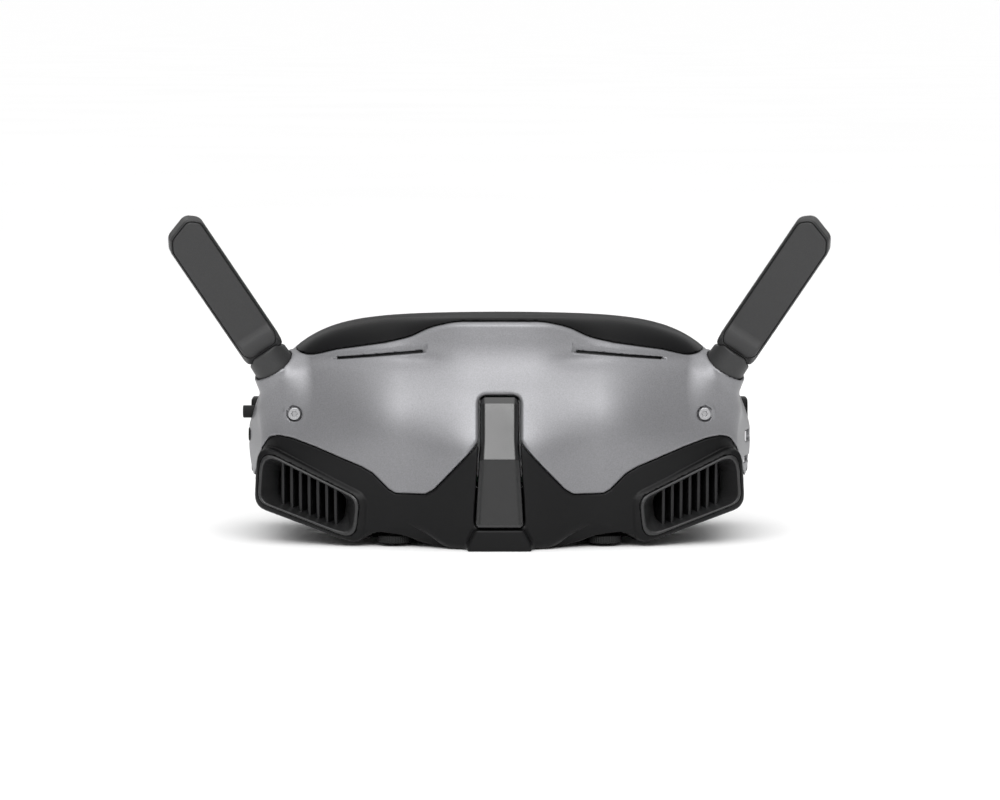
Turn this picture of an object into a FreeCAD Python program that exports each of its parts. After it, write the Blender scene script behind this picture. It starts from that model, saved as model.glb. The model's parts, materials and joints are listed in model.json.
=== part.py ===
"""FPV goggles with two fold-back antennas: parametric FreeCAD model, millimetres.

Frame: +X to the left of the wearer, -Y to the front, +Z up. The origin is on the surface that the
goggles stand on, midway between the antenna tips and midway between the chin and the temple foam.
"""
import FreeCAD
import Part
import Sketcher
import math
import os
from FreeCAD import Placement, Rotation, Vector

DRIVING = {
    # moulded body
    "half_width": 80.0, "flare_slope": 0.235, "flare_end": 2.0, "parting": 8.0, "rear_taper": 0.0015,
    "sleeve_length": 38.0,
    "wall": 2.0, "roof": 71.6, "roof_slope": 0.02, "corner_round": 5.0, "roof_round": 9.0,
    "spine_round": 3.0, "floor_round": 3.5,
    # front face
    "face_depth": 44.5, "plan_curve": 0.0036, "bulge_height": 3.0, "bulge_x": 36.0, "bulge_z": 40.0,
    "bulge_spread": 17.0, "spine_top": 2.2, "spine_chin": 5.0, "spine_half": 10.0, "spine_skirt": 25.0,
    # centre tongue
    "tongue_half": 6.1, "tongue_chin": 7.6, "tongue_top": 47.4,
    "tongue_foot": 7.0, "tongue_thickness": 4.0, "chin_reach": 52.0,
    # air intakes
    "vent_x": 60.5, "vent_y": 34.0, "vent_yaw": 18.0, "vent_depth": 11.0, "throat_depth": 9.0,
    "fin_count": 7.0, "fin_thickness": 0.9, "fin_depth": 5.0,
    # thumb scoops under the cheeks
    "scoop_radius": 28.0, "scoop_x": 34.5,
    # face side
    "face_radius": 115.0, "face_centre": 25.4, "foam_thickness": 12.0, "frame_thickness": 3.0,
    # optics
    "eye_x": 33.0, "eye_z": 36.0, "barrel_radius": 17.5, "barrel_length": 19.0, "barrel_front": -10.0,
    "nose_front": 6.0, "bridge_wall": 1.6, "panel_front": 5.6, "panel_thickness": 1.6,
    "lens_radius": 15.5, "lens_thickness": 5.0, "slide_fit": 0.05, "eye_travel": 3.0, "focus_travel": 2.0,
    "carriage_half": 21.0, "carriage_depth": 12.0, "carriage_front": -9.0,
    "rod_radius": 1.25, "rod_offset": 20.5, "rod_y": -3.0, "rod_half": 60.0,
    "display_width": 41.0, "display_size": 30.0, "display_depth": 5.0, "display_gap": 4.2,
    "knob_radius": 5.0, "knob_height": 2.4, "knob_floor": 1.0, "knob_y": 33.0, "pinion_radius": 2.0,
    # electronics
    "board_half": 44.0, "board_height": 29.0, "board_thickness": 1.6, "board_y": -29.0,
    "sink_half": 26.0, "sink_height": 24.0, "sink_fin": 6.0,
    "fan_size": 28.0, "fan_thickness": 8.0, "fan_bore": 12.0, "rotor_radius": 11.4, "rotor_hub": 4.5,
    # antennas
    "pivot_x": 76.2, "pivot_y": -22.0, "pivot_z": 63.5, "antenna_lean": 15.73, "antenna_splay": 32.76,
    "antenna_half": 6.8, "antenna_thickness": 7.4, "antenna_length": 46.6, "knuckle_radius": 5.2,
    "collar_radius": 6.65, "collar_base": 11.5, "collar_rim": 3.0, "hinge_gap": 0.35, "tang_half": 2.0,
    "pin_radius": 1.1, "cover_thickness": 1.3,
    # fasteners and controls
    "screw_x": 64.3, "screw_z": 40.9, "screw_head": 1.95, "screw_length": 9.0,
    "stick_y": 2.0, "stick_z": 39.2, "stick_radius": 2.0, "stick_reach": 81.9, "stick_pivot": 75.0,
    "button_z": 32.0, "button_y": 2.0, "button_radius": 2.1,
    "board_x": 71.0, "usb_z": 32.0, "card_z": 24.6,
    "lug_y": 20.0, "lug_length": 12.0, "lug_floor": 18.0, "lug_height": 24.0, "lug_reach": 80.2,
    "lug_bore": 1.5,
}

doc = FreeCAD.newDocument("Goggles")
sheet = doc.addObject("Spreadsheet::Sheet", "dims")
for row, (alias, value) in enumerate(DRIVING.items(), start=1):
    sheet.set("A%d" % row, alias)
    sheet.set("B%d" % row, str(value))
    sheet.setAlias("B%d" % row, alias)
doc.recompute()

NODES = []
UP = Vector(0, 0, 1)
TOWARD_X = Rotation(Vector(0, 1, 0), 90)
TOWARD_REAR = Rotation(Vector(1, 0, 0), -90)


def dim(alias):
    """Value of a driving dimension."""
    return float(getattr(sheet, alias))


def node(obj, label):
    """Register obj as a finished sub-part called label."""
    obj.Label = label
    NODES.append(obj)
    return obj


def solid_node(label, shape):
    """Free-form sub-part whose shape is computed from the sheet."""
    obj = doc.addObject("Part::Feature", label)
    obj.Shape = shape
    return node(obj, label)


def bound(kind, name, position=(0, 0, 0), rotation=None, **sizes):
    """Part primitive whose sizes are expressions on the sheet."""
    obj = doc.addObject(kind, name)
    for prop, expression in sizes.items():
        obj.setExpression(prop, expression)
    obj.Placement = Placement(Vector(*position), rotation or Rotation())
    return obj


def cylinder(name, position, rotation, radius, height):
    return bound("Part::Cylinder", name, position, rotation, Radius=radius, Height=height)


def block(name, position, length, width, height, rotation=None):
    return bound("Part::Box", name, position, rotation, Length=length, Width=width, Height=height)


def cut(name, base, *tools):
    """Boolean difference as document objects."""
    for number, tool in enumerate(tools):
        step = doc.addObject("Part::Cut", "%s_cut%d" % (name, number))
        step.Base, step.Tool = base, tool
        base = step
    return base


def fuse(name, *shapes):
    obj = doc.addObject("Part::MultiFuse", name + "_fuse")
    obj.Shapes = list(shapes)
    return obj


def group(name, *shapes):
    obj = doc.addObject("Part::Compound", name + "_group")
    obj.Links = list(shapes)
    return obj


def turned_body(name, profile, position, rotation):
    """PartDesign body: a closed (radius, height) profile turned about its own Z axis.

    Each coordinate is an expression on the sheet, so every sketch vertex is driven by it.
    """
    body = doc.addObject("PartDesign::Body", name)
    sketch = closed_sketch(body, name, "XZ_Plane", profile)
    turn = body.newObject("PartDesign::Revolution", name + "_turn")
    turn.Profile = sketch
    turn.ReferenceAxis = (sketch, ["V_Axis"])
    turn.Angle = 360
    body.Placement = Placement(Vector(*position), rotation)
    return body


def closed_sketch(body, name, plane, corners):
    """Straight-sided sketch with each corner dimensioned from the origin by expressions."""
    sketch = body.newObject("Sketcher::SketchObject", name + "_sketch")
    origin_plane = [f for f in body.Origin.OriginFeatures if f.Role == plane][0]
    sketch.AttachmentSupport = (origin_plane, [""])
    sketch.MapMode = "FlatFace"
    values = [(float(sheet_value(x)), float(sheet_value(y))) for x, y in corners]
    count = len(corners)
    for i in range(count):
        start, end = values[i], values[(i + 1) % count]
        sketch.addGeometry(Part.LineSegment(Vector(*start, 0), Vector(*end, 0)), False)
    for i in range(count):
        sketch.addConstraint(Sketcher.Constraint("Coincident", i, 2, (i + 1) % count, 1))
    for i, (x, y) in enumerate(corners):
        for kind, text, value in (("DistanceX", x, values[i][0]), ("DistanceY", y, values[i][1])):
            number = sketch.addConstraint(Sketcher.Constraint(kind, -1, 1, i, 1, value))
            sketch.setExpression("Constraints[%d]" % number, text)
    return sketch


def sheet_value(text):
    """Numeric value of a sheet expression."""
    return sheet.evalExpression(text.replace("dims.", ""))


# ---------------------------------------------------------------- body skin


def blend(start, end, value):
    """Smooth step from 0 at start to 1 at end."""
    part = min(1.0, max(0.0, (value - start) / (end - start)))
    return part * part * (3 - 2 * part)


def round_join(first, second, radius):
    """Intersection of two fields with a rounded edge of the given radius."""
    u, v = max(radius + first, 0.0), max(radius + second, 0.0)
    return min(-radius, max(first, second)) + math.hypot(u, v)


LEAN_START, LEAN_END = 30.0, 60.0
LEAN_LINEAR, LEAN_SQUARE, BROW_LEAN, CHIN_LEAN = 0.14, 0.0035, 0.10, 0.02
ROOF_SQUARE, ROOF_SIXTH = 6.5e-4, 1.08e-10
FLOOR_RISE, FLOOR_SPAN, FLOOR_POWER = 9.8, 71.0, 2.5
UPPER_TUCK, UPPER_TUCK_Z, LOWER_TUCK, LOWER_TUCK_Z = 0.02, 40.0, 0.012, 30.0
SECTION_Z = 34.0


def lean_back(z):
    """How far the front face leans back at height z."""
    rise = min(z, LEAN_END) - LEAN_START
    if rise <= 0:
        return CHIN_LEAN * -rise
    return LEAN_LINEAR * rise + LEAN_SQUARE * rise ** 2 + BROW_LEAN * max(0.0, z - LEAN_END)


SKIN = {name: dim(name) for name in (
    "face_depth", "plan_curve", "bulge_height", "bulge_x", "bulge_z", "bulge_spread", "spine_top", "spine_chin",
    "spine_half", "spine_skirt", "half_width", "flare_slope", "flare_end", "parting", "roof", "roof_slope",
    "corner_round", "roof_round", "spine_round", "floor_round")}


def front_depth(x, z):
    """Distance of the front face in front of the XZ plane: curved plan, eye bulges and spine."""
    x = abs(x)
    spine = SKIN["spine_top"] + (SKIN["spine_chin"] - SKIN["spine_top"]) * (1 - blend(28.0, 50.0, z))
    spine *= 1 - blend(SKIN["spine_half"], SKIN["spine_skirt"], x)
    across, above = (x - SKIN["bulge_x"]) / SKIN["bulge_spread"], (z - SKIN["bulge_z"]) / SKIN["bulge_spread"]
    bulge = SKIN["bulge_height"] * math.exp(-across ** 2 - above ** 2)
    return SKIN["face_depth"] - SKIN["plan_curve"] * x * x - lean_back(z) + spine + bulge


def skin_field(x, y, z):
    """Signed field of the moulded body: negative inside, about the distance near the surface."""
    x = abs(x)
    front = -(y + front_depth(x, z)) * 0.96
    side = x - (SKIN["half_width"] - SKIN["flare_slope"] * max(0.0, SKIN["flare_end"] - y)
                - LOWER_TUCK * max(0.0, LOWER_TUCK_Z - z) ** 2
                - UPPER_TUCK * max(0.0, z - UPPER_TUCK_Z) ** 2)
    roof = z - (SKIN["roof"] - ROOF_SQUARE * x ** 2 - ROOF_SIXTH * x ** 6 - SKIN["roof_slope"] * (y + 34.0))
    floor = FLOOR_RISE * (x / FLOOR_SPAN) ** FLOOR_POWER - z
    roof_round = SKIN["spine_round"] + (SKIN["roof_round"] - SKIN["spine_round"]) * blend(14.0, 34.0, x)
    field = round_join(front, roof, roof_round)
    field = round_join(field, floor, SKIN["floor_round"])
    return round_join(field, side * 0.93, SKIN["corner_round"])


def skin_point(start, direction, inset):
    """Where the ray meets the surface that lies inset inside the skin."""
    low, high = 0.0, 120.0
    for _ in range(34):
        middle = (low + high) / 2
        p = start + direction * middle
        if skin_field(p.x, p.y, p.z) + inset < 0:
            low = middle
        else:
            high = middle
    return start + direction * low


def front_surface(inset, columns=64, rows=40):
    """Smooth face of the body in front of the parting plane, inset inside the outer skin."""
    grid = []
    for i in range(columns + 1):
        u = -1 + 2 * i / columns
        line = []
        for j in range(rows + 1):
            v = -1 + 2 * j / rows
            start = Vector(52 * u, SKIN["parting"], SECTION_Z + 14 * v)
            forward = 1.6 * (1 - u ** 4) * (1 - v ** 4)
            direction = Vector(u ** 3 * 1.1 + 0.25 * u, -forward, v ** 3 * 0.9 + 0.2 * v)
            line.append(skin_point(start, direction.normalize(), inset))
        grid.append(line)
    surface = Part.BSplineSurface()
    surface.interpolate(grid)
    return surface.toShape()


def make_body(inset):
    """Closed body: the front face, a rear sleeve that narrows towards the head, and a flat back."""
    front = front_surface(inset)
    rim = Part.Wire(Part.__sortEdges__(front.Edges))
    length = dim("sleeve_length")
    scale = 1 - dim("rear_taper") * length
    shrink = FreeCAD.Matrix()
    shrink.move(Vector(0, -SKIN["parting"], -SECTION_Z))
    shrink.scale(Vector(scale, 1, scale))
    shrink.move(Vector(0, SKIN["parting"] + length, SECTION_Z))
    rear_rim = rim.transformGeometry(shrink)
    sides = Part.makeLoft([rim, rear_rim], False, True)
    return Part.makeSolid(Part.makeShell([front] + sides.Faces + [Part.Face(rear_rim)]))


BODIES = {}


def body_solid(inset):
    """The body inset inside its outer skin; each one is made once."""
    if inset not in BODIES:
        BODIES[inset] = make_body(inset)
    return BODIES[inset].copy()


# ---------------------------------------------------------------- outlines seen from the front


def mirrored(points):
    """Closed outline from its points with x >= 0, listed from one end on the mid-plane to the other."""
    left = [(-x, z) for x, z in reversed(points) if x > 1e-9]
    return list(points) + left


def prism(outline, y_start, y_end):
    """Solid swept along Y from an (x, z) outline."""
    wire = Part.makePolygon([Vector(x, y_start, z) for x, z in list(outline) + [outline[0]]])
    return Part.Face(wire).extrude(Vector(0, y_end - y_start, 0))


def smooth_prism(outline, y_start, y_end):
    """Solid swept along Y from a closed smooth curve through (x, z) points."""
    curve = Part.BSplineCurve()
    curve.interpolate([Vector(x, y_start, z) for x, z in outline], PeriodicFlag=True)
    return Part.Face(Part.Wire([curve.toShape()])).extrude(Vector(0, y_end - y_start, 0))


ROOF_SEAM = [(0, 70.6), (13.8, 70.4), (21.7, 68.6), (27.9, 65.4), (35.7, 63.6), (50.9, 61.2), (60.0, 58.9),
             (66.0, 60.6), (82.0, 66.0)]
COWL_SEAM = [(90.0, 12.0), (78.5, 17.0), (77.0, 22.0), (74.5, 29.8), (72.3, 33.2), (69.3, 33.9), (64.9, 33.2),
             (57.6, 30.8), (43.1, 25.2), (39.5, 23.2), (34.5, 18.2), (32.3, 17.0), (23.0, 17.0), (20.2, 18.7),
             (7.7, 32.0), (6.4, 34.0)]
NOTCH_TOP = [(6.4, 46.2), (5.0, 47.7), (0, 47.7)]
FRONT_Y = -60.0


def front_shell_outline():
    return mirrored(ROOF_SEAM + [(90.0, 66.0)] + COWL_SEAM + NOTCH_TOP)


def cowl_outline():
    foot, half = dim("tongue_foot"), dim("tongue_chin") + 0.3
    return mirrored([(0, -5.0), (90.0, -5.0)] + COWL_SEAM + [(half, foot), (0, foot)])


def roof_outline():
    return mirrored([(0, 90.0), (90.0, 90.0), (90.0, 66.0)] + ROOF_SEAM[::-1])


BACK_OPENING = [(-70.0, 20.0), (70.0, 20.0), (70.0, 50.0), (-70.0, 50.0)]
NOSE_ARCH = [(0, 25.0), (6.0, 24.2), (12.0, 19.5), (17.0, 9.0), (20.0, 0.0), (22.0, -8.0)]


def nose_prism(grow, y_start, y_end):
    """Room for the nose, grown outwards by a wall thickness."""
    points = [(x * (1 + grow / 14), z + grow) for x, z in NOSE_ARCH]
    return prism(mirrored(points), y_start, y_end)


# ---------------------------------------------------------------- shells


def vent_placement(side):
    """Frame of an air intake: X along its mouth towards the middle, Y into the body, Z up."""
    yaw = side * dim("vent_yaw")
    return Placement(Vector(side * dim("vent_x"), -dim("vent_y"), 0), Rotation(UP, yaw))


def vent_prism(side, corners, depth_start, depth_end, radius, end_corners=None):
    """Rounded four-sided prism or funnel along an intake's axis; corners are (across, height)."""
    place = vent_placement(side)

    def rounded_wire(outline, depth):
        flat = Part.Face(Part.makePolygon(
            [place.multVec(Vector(-side * a, depth, z)) for a, z in list(outline) + [outline[0]]]))
        axis = place.Rotation.multVec(Vector(0, 1, 0))
        slab = flat.extrude(axis)
        long_edges = [e for e in slab.Edges if abs(abs((e.Vertexes[0].Point - e.Vertexes[1].Point)
                                                       .normalize().dot(axis)) - 1) < 1e-6]
        slab = slab.makeFillet(radius, long_edges)
        base = min(slab.Faces, key=lambda f: (f.CenterOfMass - flat.CenterOfMass).Length)
        return base.OuterWire

    if end_corners is None:
        end_corners = corners
    return Part.makeLoft([rounded_wire(corners, depth_start), rounded_wire(end_corners, depth_end)], True, True)


NACELLE = [(-17.0, 32.2), (20.0, 16.2), (18.4, 0.0), (-18.0, 11.6)]
BEZEL = [(-15.4, 30.0), (17.6, 15.4), (16.2, 2.0), (-16.4, 13.2)]
MOUTH = [(-14.4, 28.6), (16.6, 14.9), (15.3, 3.4), (-15.4, 13.6)]
THROAT = [(-12.0, 26.2), (10.2, 15.5), (9.4, 5.6), (-12.8, 14.0)]
FIN_FIRST, FIN_LAST = -9.7, 7.9


def build_shells():
    """Front shell, lower cowl and rear housing, cut from one skin along their seams."""
    wall, parting = dim("wall"), dim("parting")
    skin = body_solid(0.0).cut(body_solid(wall).fuse(prism(BACK_OPENING, 45.0, 60.0)))
    roof_step = Part.makeBox(140, 60, 20, Vector(-70, -31.5, 64.5))
    nose = nose_prism(0.0, dim("nose_front"), 70.0)

    shell = skin.common(prism(front_shell_outline(), FRONT_Y, parting)).cut(roof_step)
    rear = Part.makeBox(200, 60, 120, Vector(-100, parting, -20))
    roof = skin.common(prism(roof_outline(), FRONT_Y, parting + 1).fuse(roof_step).fuse(rear))

    # thumb scoops in front of the eye knobs: hollows under the cheeks with a wall of their own
    hollows = scoop_pair(0.0)
    inner = body_solid(wall).cut(scoop_pair(wall))
    cowl = body_solid(0.0).common(prism(cowl_outline(), FRONT_Y, parting)).cut(hollows).cut(inner).cut(nose)

    # chin: a low block under the tongue, flared outwards, that the goggles stand on
    reach, half = dim("chin_reach"), dim("tongue_chin")
    chin = prism([(-half, 6.6), (half, 6.6), (10.0, 2.0), (10.0, 0.0), (-10.0, 0.0), (-10.0, 2.0)], -reach, -42.0)
    cowl = cowl.fuse(chin.cut(body_solid(wall)))
    for side in (-1, 1):
        nacelle = vent_prism(side, NACELLE, 0.0, dim("vent_depth"), 5.0)
        shell = shell.cut(vent_prism(side, NACELLE, -6.0, dim("vent_depth"), 5.0))
        cowl = cowl.cut(vent_prism(side, NACELLE, -6.0, dim("vent_depth"), 5.0)).fuse(nacelle)
        cowl = cowl.cut(vent_prism(side, BEZEL, -2.0, 14.0, 4.5)).cut(knob_window(side))
    cowl = cowl.common(Part.makeBox(200, 120, 60, Vector(-100, -60, 0)))
    cowl = cowl.cut(usb_opening()).cut(card_opening())
    return shell, cowl, roof, nose


SCOOP_TOP, SCOOP_FRONT, SCOOP_FALL = 7.8, -41.0, 0.47


def scoop_pair(grow):
    """Sloping cylinders of the two thumb scoops, grown by a wall thickness."""
    tools = []
    for side in (-1, 1):
        radius = dim("scoop_radius")
        y_start, length = -80.0, 70.0
        ceiling = SCOOP_TOP - SCOOP_FALL * (y_start - SCOOP_FRONT)
        z_axis = ceiling - radius * math.hypot(1.0, SCOOP_FALL)
        bore = Part.makeCylinder(radius + grow, length, Vector(side * dim("scoop_x"), y_start, z_axis),
                                 Vector(0, 1, -SCOOP_FALL))
        tools.append(bore.common(Part.makeBox(90, 27.0 + grow, 20, Vector(side * 45 - 45, -54, -8))))
    return tools[0].fuse(tools[1])


def knob_window(side):
    """Room for an eye knob over its sideways travel, through the floor and the scoop's wall."""
    radius, travel, y_knob = dim("knob_radius") + 0.5, dim("eye_travel"), -dim("knob_y")
    ends = [Vector(side * dim("eye_x") + shift, y_knob, -2) for shift in (-travel, travel)]
    window = Part.makeBox(2 * travel, 2 * radius, 9.0, ends[0] - Vector(0, radius, 0))
    for centre in ends:
        window = window.fuse(Part.makeCylinder(radius, 9.0, centre, UP))
    return window


def usb_opening():
    return Part.makeBox(12, 9.4, 3.4, Vector(72, -6.2, dim("usb_z") - 1.7))


def card_opening():
    return Part.makeBox(12, 12.4, 1.8, Vector(72, -7.2, dim("card_z") - 0.9))


def face_cylinder(y_centre):
    """Vertical cylinder of the head's curve whose front touches y_centre."""
    radius = dim("face_radius")
    return Part.makeCylinder(radius, 200, Vector(0, y_centre + radius, -50), UP)


LUG_Y = dim("lug_y") + dim("lug_length") / 2
LUG_Z = dim("lug_floor") + dim("lug_height") / 2


def build_rear_housing(roof, nose):
    """Rear housing: roof strip, side walls and the bridge over the nose."""
    edge = dim("face_centre") - dim("foam_thickness") - dim("frame_thickness")
    thick = dim("bridge_wall")
    bridge = nose_prism(thick, dim("nose_front") - thick, 24.0).cut(nose).common(body_solid(dim("wall")))
    strap_hole = Part.makeCylinder(dim("lug_bore"), 200, Vector(-100, LUG_Y, LUG_Z), Vector(1, 0, 0))
    return roof.cut(nose).fuse(bridge).cut(face_cylinder(edge)).cut(strap_hole)


FOAM_OUTER = [(0, 68.0), (25, 67.2), (45, 63.6), (60, 56.5), (70.5, 45.0), (73.6, 32.0), (70.0, 18.0),
              (58.0, 5.0), (42.0, -0.6), (29.0, 0.4), (22.0, 6.0), (16.5, 15.5), (9.0, 23.2), (0, 26.0)]
EYE_OPENING = [(0, 55.0), (30, 55.5), (48, 52.0), (58.0, 41.0), (59.0, 30.0), (52.0, 17.0), (38.0, 11.5),
               (28.0, 15.0), (19.0, 26.5), (9.0, 33.5), (0, 35.5)]


def face_ring(y_front, y_rear, shrink):
    """Ring that follows the face: outer and eye outlines between two curved surfaces."""
    outer = [(x * (1 - shrink / 70), 34 + (z - 34) * (1 - shrink / 34)) for x, z in FOAM_OUTER]
    ring = smooth_prism(mirrored(outer), -5, 70).cut(smooth_prism(mirrored(EYE_OPENING), -10, 80))
    ring = ring.common(face_cylinder(y_front)).cut(face_cylinder(y_rear))
    return ring.common(Part.makeBox(200, 120, 90, Vector(-100, -30, 0)))


SCREW_WELL, SCREW_HOLE, SCREW_POST, STICK_HOLE = 2.45, 1.3, 3.4, 3.1


def build_static_shells():
    shell, cowl, roof, nose = build_shells()
    wall = dim("wall")
    for side in (-1, 1):
        # counterbored front screw, exhaust slot, antenna seat
        x, z = side * dim("screw_x"), dim("screw_z")
        y_face = -front_depth(x, z)
        stem = Part.makeCylinder(SCREW_POST, 9.0, Vector(x, y_face - 1.5, z), Vector(0, 1, 0))
        shell = shell.fuse(stem.common(body_solid(wall / 2)))
        shell = shell.cut(Part.makeCylinder(SCREW_WELL, 3.0, Vector(x, y_face - 2.2, z), Vector(0, 1, 0)))
        shell = shell.cut(Part.makeCylinder(SCREW_HOLE, 12.0, Vector(x, y_face - 2.0, z), Vector(0, 1, 0)))
        shell = shell.cut(slot_prism(side, 0.0, -45.0, -20.0))
        seat = antenna_place(side)
        socket = Part.makeCylinder(dim("collar_radius") + 0.15, 30, Vector(0, 0, -dim("collar_base")), UP)
        socket.Placement = seat.multiply(socket.Placement)
        boss = Part.makeCone(9.4, dim("collar_radius") + 0.9, 6.5, Vector(0, 0, -dim("collar_base") - 5.0), UP)
        boss.Placement = seat.multiply(boss.Placement)
        boss = boss.cut(body_solid(wall)).common(Part.makeBox(200, 80, 80, Vector(-100, -70, 40)))
        roof = roof.cut(boss).cut(socket)
        shell = shell.fuse(boss).cut(socket)
    shell = shell.cut(Part.makeCylinder(STICK_HOLE, 12, Vector(-74, dim("stick_y"), dim("stick_z")), Vector(-1, 0, 0)))
    shell = shell.cut(Part.makeCylinder(dim("button_radius") + 0.2, 12,
                                        Vector(-74, dim("button_y"), dim("button_z")), Vector(-1, 0, 0)))
    shell = shell.cut(usb_opening()).cut(card_opening())
    return shell, cowl, roof, nose


SLOT_ENDS, SLOT_HEIGHT = ((24.0, 61.9), (51.0, 59.0)), 0.7


def slot_prism(side, grow, y_start, y_end):
    """Long thin exhaust slot under the brow, seen from the front."""
    (x0, z0), (x1, z1) = SLOT_ENDS
    outline = [(side * (x0 - grow), z0 - grow), (side * (x1 + grow), z1 - grow),
               (side * (x1 + grow), z1 + SLOT_HEIGHT + grow), (side * (x0 - grow), z0 + SLOT_HEIGHT + grow)]
    return prism(outline, y_start, y_end)


# ---------------------------------------------------------------- antennas


def antenna_place(side):
    """Frame of an antenna: origin on its pivot, Z along the antenna, Y to the rear."""
    lean, splay = math.radians(dim("antenna_lean")), math.radians(dim("antenna_splay"))
    along = Vector(side * math.cos(lean) * math.sin(splay), -math.sin(lean), math.cos(lean) * math.cos(splay))
    # the hinge axis is level with the paddle's face, square to its length
    across = Vector(-side * 0.8335, 0.0434, 0.5510)
    across = (across - along * across.dot(along)).normalize()
    rearward = along.cross(across) * (-side)
    pivot = Vector(side * dim("pivot_x"), dim("pivot_y"), dim("pivot_z"))
    return Placement(pivot, Rotation(across * (-side), rearward, along, "ZYX"))


def paddle_outline(side, inset, foot):
    """Front outline of the paddle as a wire; x runs to the outside for either side."""
    half, top = dim("antenna_half") - inset, dim("antenna_length") - inset
    inner = -side
    corners = [(inner * half, foot), (inner * half, top - 3.2), (inner * (half - 3.6), top),
               (-inner * (half - 2.2), top - 2.6), (-inner * half, top - 6.4), (-inner * half, foot)]
    return [Vector(x, 0, z) for x, z in corners]


COLLAR_REAR_DROP = 6.2


def build_antenna(side, prefix):
    place = antenna_place(side)
    half, thick = dim("antenna_half"), dim("antenna_thickness")
    knuckle, gap, tang = dim("knuckle_radius"), dim("hinge_gap"), dim("tang_half")

    def placed(shape):
        shape.Placement = place.multiply(shape.Placement)
        return shape

    # back shell: rounded paddle with a barrel knuckle, slotted for the collar's tang, hollow for the board
    face = Part.Face(Part.makePolygon(paddle_outline(side, 0.0, 0.0) + paddle_outline(side, 0.0, 0.0)[:1]))
    paddle = face.extrude(Vector(0, thick, 0))
    paddle.translate(Vector(0, -thick / 2, 0))
    rim = [e for e in paddle.Edges if abs(e.Vertexes[0].Point.y - e.Vertexes[-1].Point.y) < 1e-6
           and min(v.Point.z for v in e.Vertexes) > -1e-6 and e.Vertexes[0].Point.z + e.Vertexes[-1].Point.z > 1]
    paddle = paddle.makeFillet(1.6, rim)
    barrel = Part.makeCylinder(knuckle, 2 * half - 1.6, Vector(-half + 0.8, 0, 0), Vector(1, 0, 0))
    slot = Part.makeBox(2 * tang + 2 * gap, 20, 16, Vector(-tang - gap, -2.6, -8))
    pocket_top = dim("antenna_length") - 4.5
    pocket = Part.makeBox(2 * half - 3.6, 4.0, pocket_top - 9, Vector(-half + 1.8, -2.6, 9))
    seat = paddle_outline(side, 0.65, 6.0)
    cover_cut = Part.Face(Part.makePolygon(seat + seat[:1])).extrude(Vector(0, 4.0, 0))
    cover_cut.translate(Vector(0, -thick / 2 - 4.0 + dim("cover_thickness"), 0))
    bore = Part.makeCylinder(dim("pin_radius") + 0.05, 2 * half + 2, Vector(-half - 1, 0, 0), Vector(1, 0, 0))
    back = paddle.fuse(barrel).cut(slot).cut(pocket).cut(cover_cut).cut(bore)
    solid_node(prefix + "_antenna_shell", placed(back))

    # snap-on front cover, flush with the paddle's face
    outline = paddle_outline(side, 0.75, 6.1)
    cover = Part.Face(Part.makePolygon(outline + outline[:1])).extrude(Vector(0, dim("cover_thickness"), 0))
    cover.translate(Vector(0, -thick / 2, 0))
    solid_node(prefix + "_antenna_cover", placed(cover))

    # radiating board inside the paddle
    board = Part.makeBox(2 * half - 4.4, 0.8, pocket_top - 10, Vector(-half + 2.2, -0.9, 9.5))
    solid_node(prefix + "_antenna_board", placed(board))

    # collar: round stub on the body, cupped for the knuckle, low at the rear so the paddle can fold
    radius, base, rim_z = dim("collar_radius"), dim("collar_base"), dim("collar_rim")
    stub = Part.makeCone(radius, radius - 0.35, base - rim_z, Vector(0, 0, -base), UP)
    cup = Part.makeCylinder(knuckle + gap, 20, Vector(-10, 0, 0), Vector(1, 0, 0))
    step = Part.makeBox(20, 10, 10, Vector(-10, -0.5, -COLLAR_REAR_DROP))
    head = Part.makeCylinder(knuckle / 2 - 0.1, 2 * tang, Vector(-tang, 0, 0), Vector(1, 0, 0))
    tongue = Part.makeBox(2 * tang, knuckle - 0.2, base, Vector(-tang, -knuckle / 2 + 0.1, -base)).fuse(head)
    pin_bore = Part.makeCylinder(dim("pin_radius"), 40, Vector(-20, 0, 0), Vector(1, 0, 0))
    collar = stub.cut(cup).cut(step).fuse(tongue).cut(pin_bore).common(
        Part.makeBox(20, 20, base + 8, Vector(-10, -10, -base)))
    solid_node(prefix + "_antenna_collar", placed(collar))

    pin = cylinder(prefix + "_hinge_pin", (0, 0, 0), Rotation(), "dims.pin_radius", "2*dims.antenna_half - 2.4")
    offset = Placement(Vector(-half + 1.2, 0, 0), TOWARD_X)
    pin.Placement = place.multiply(offset)
    node(pin, prefix + "_hinge_pin")


# ---------------------------------------------------------------- air intakes


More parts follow.
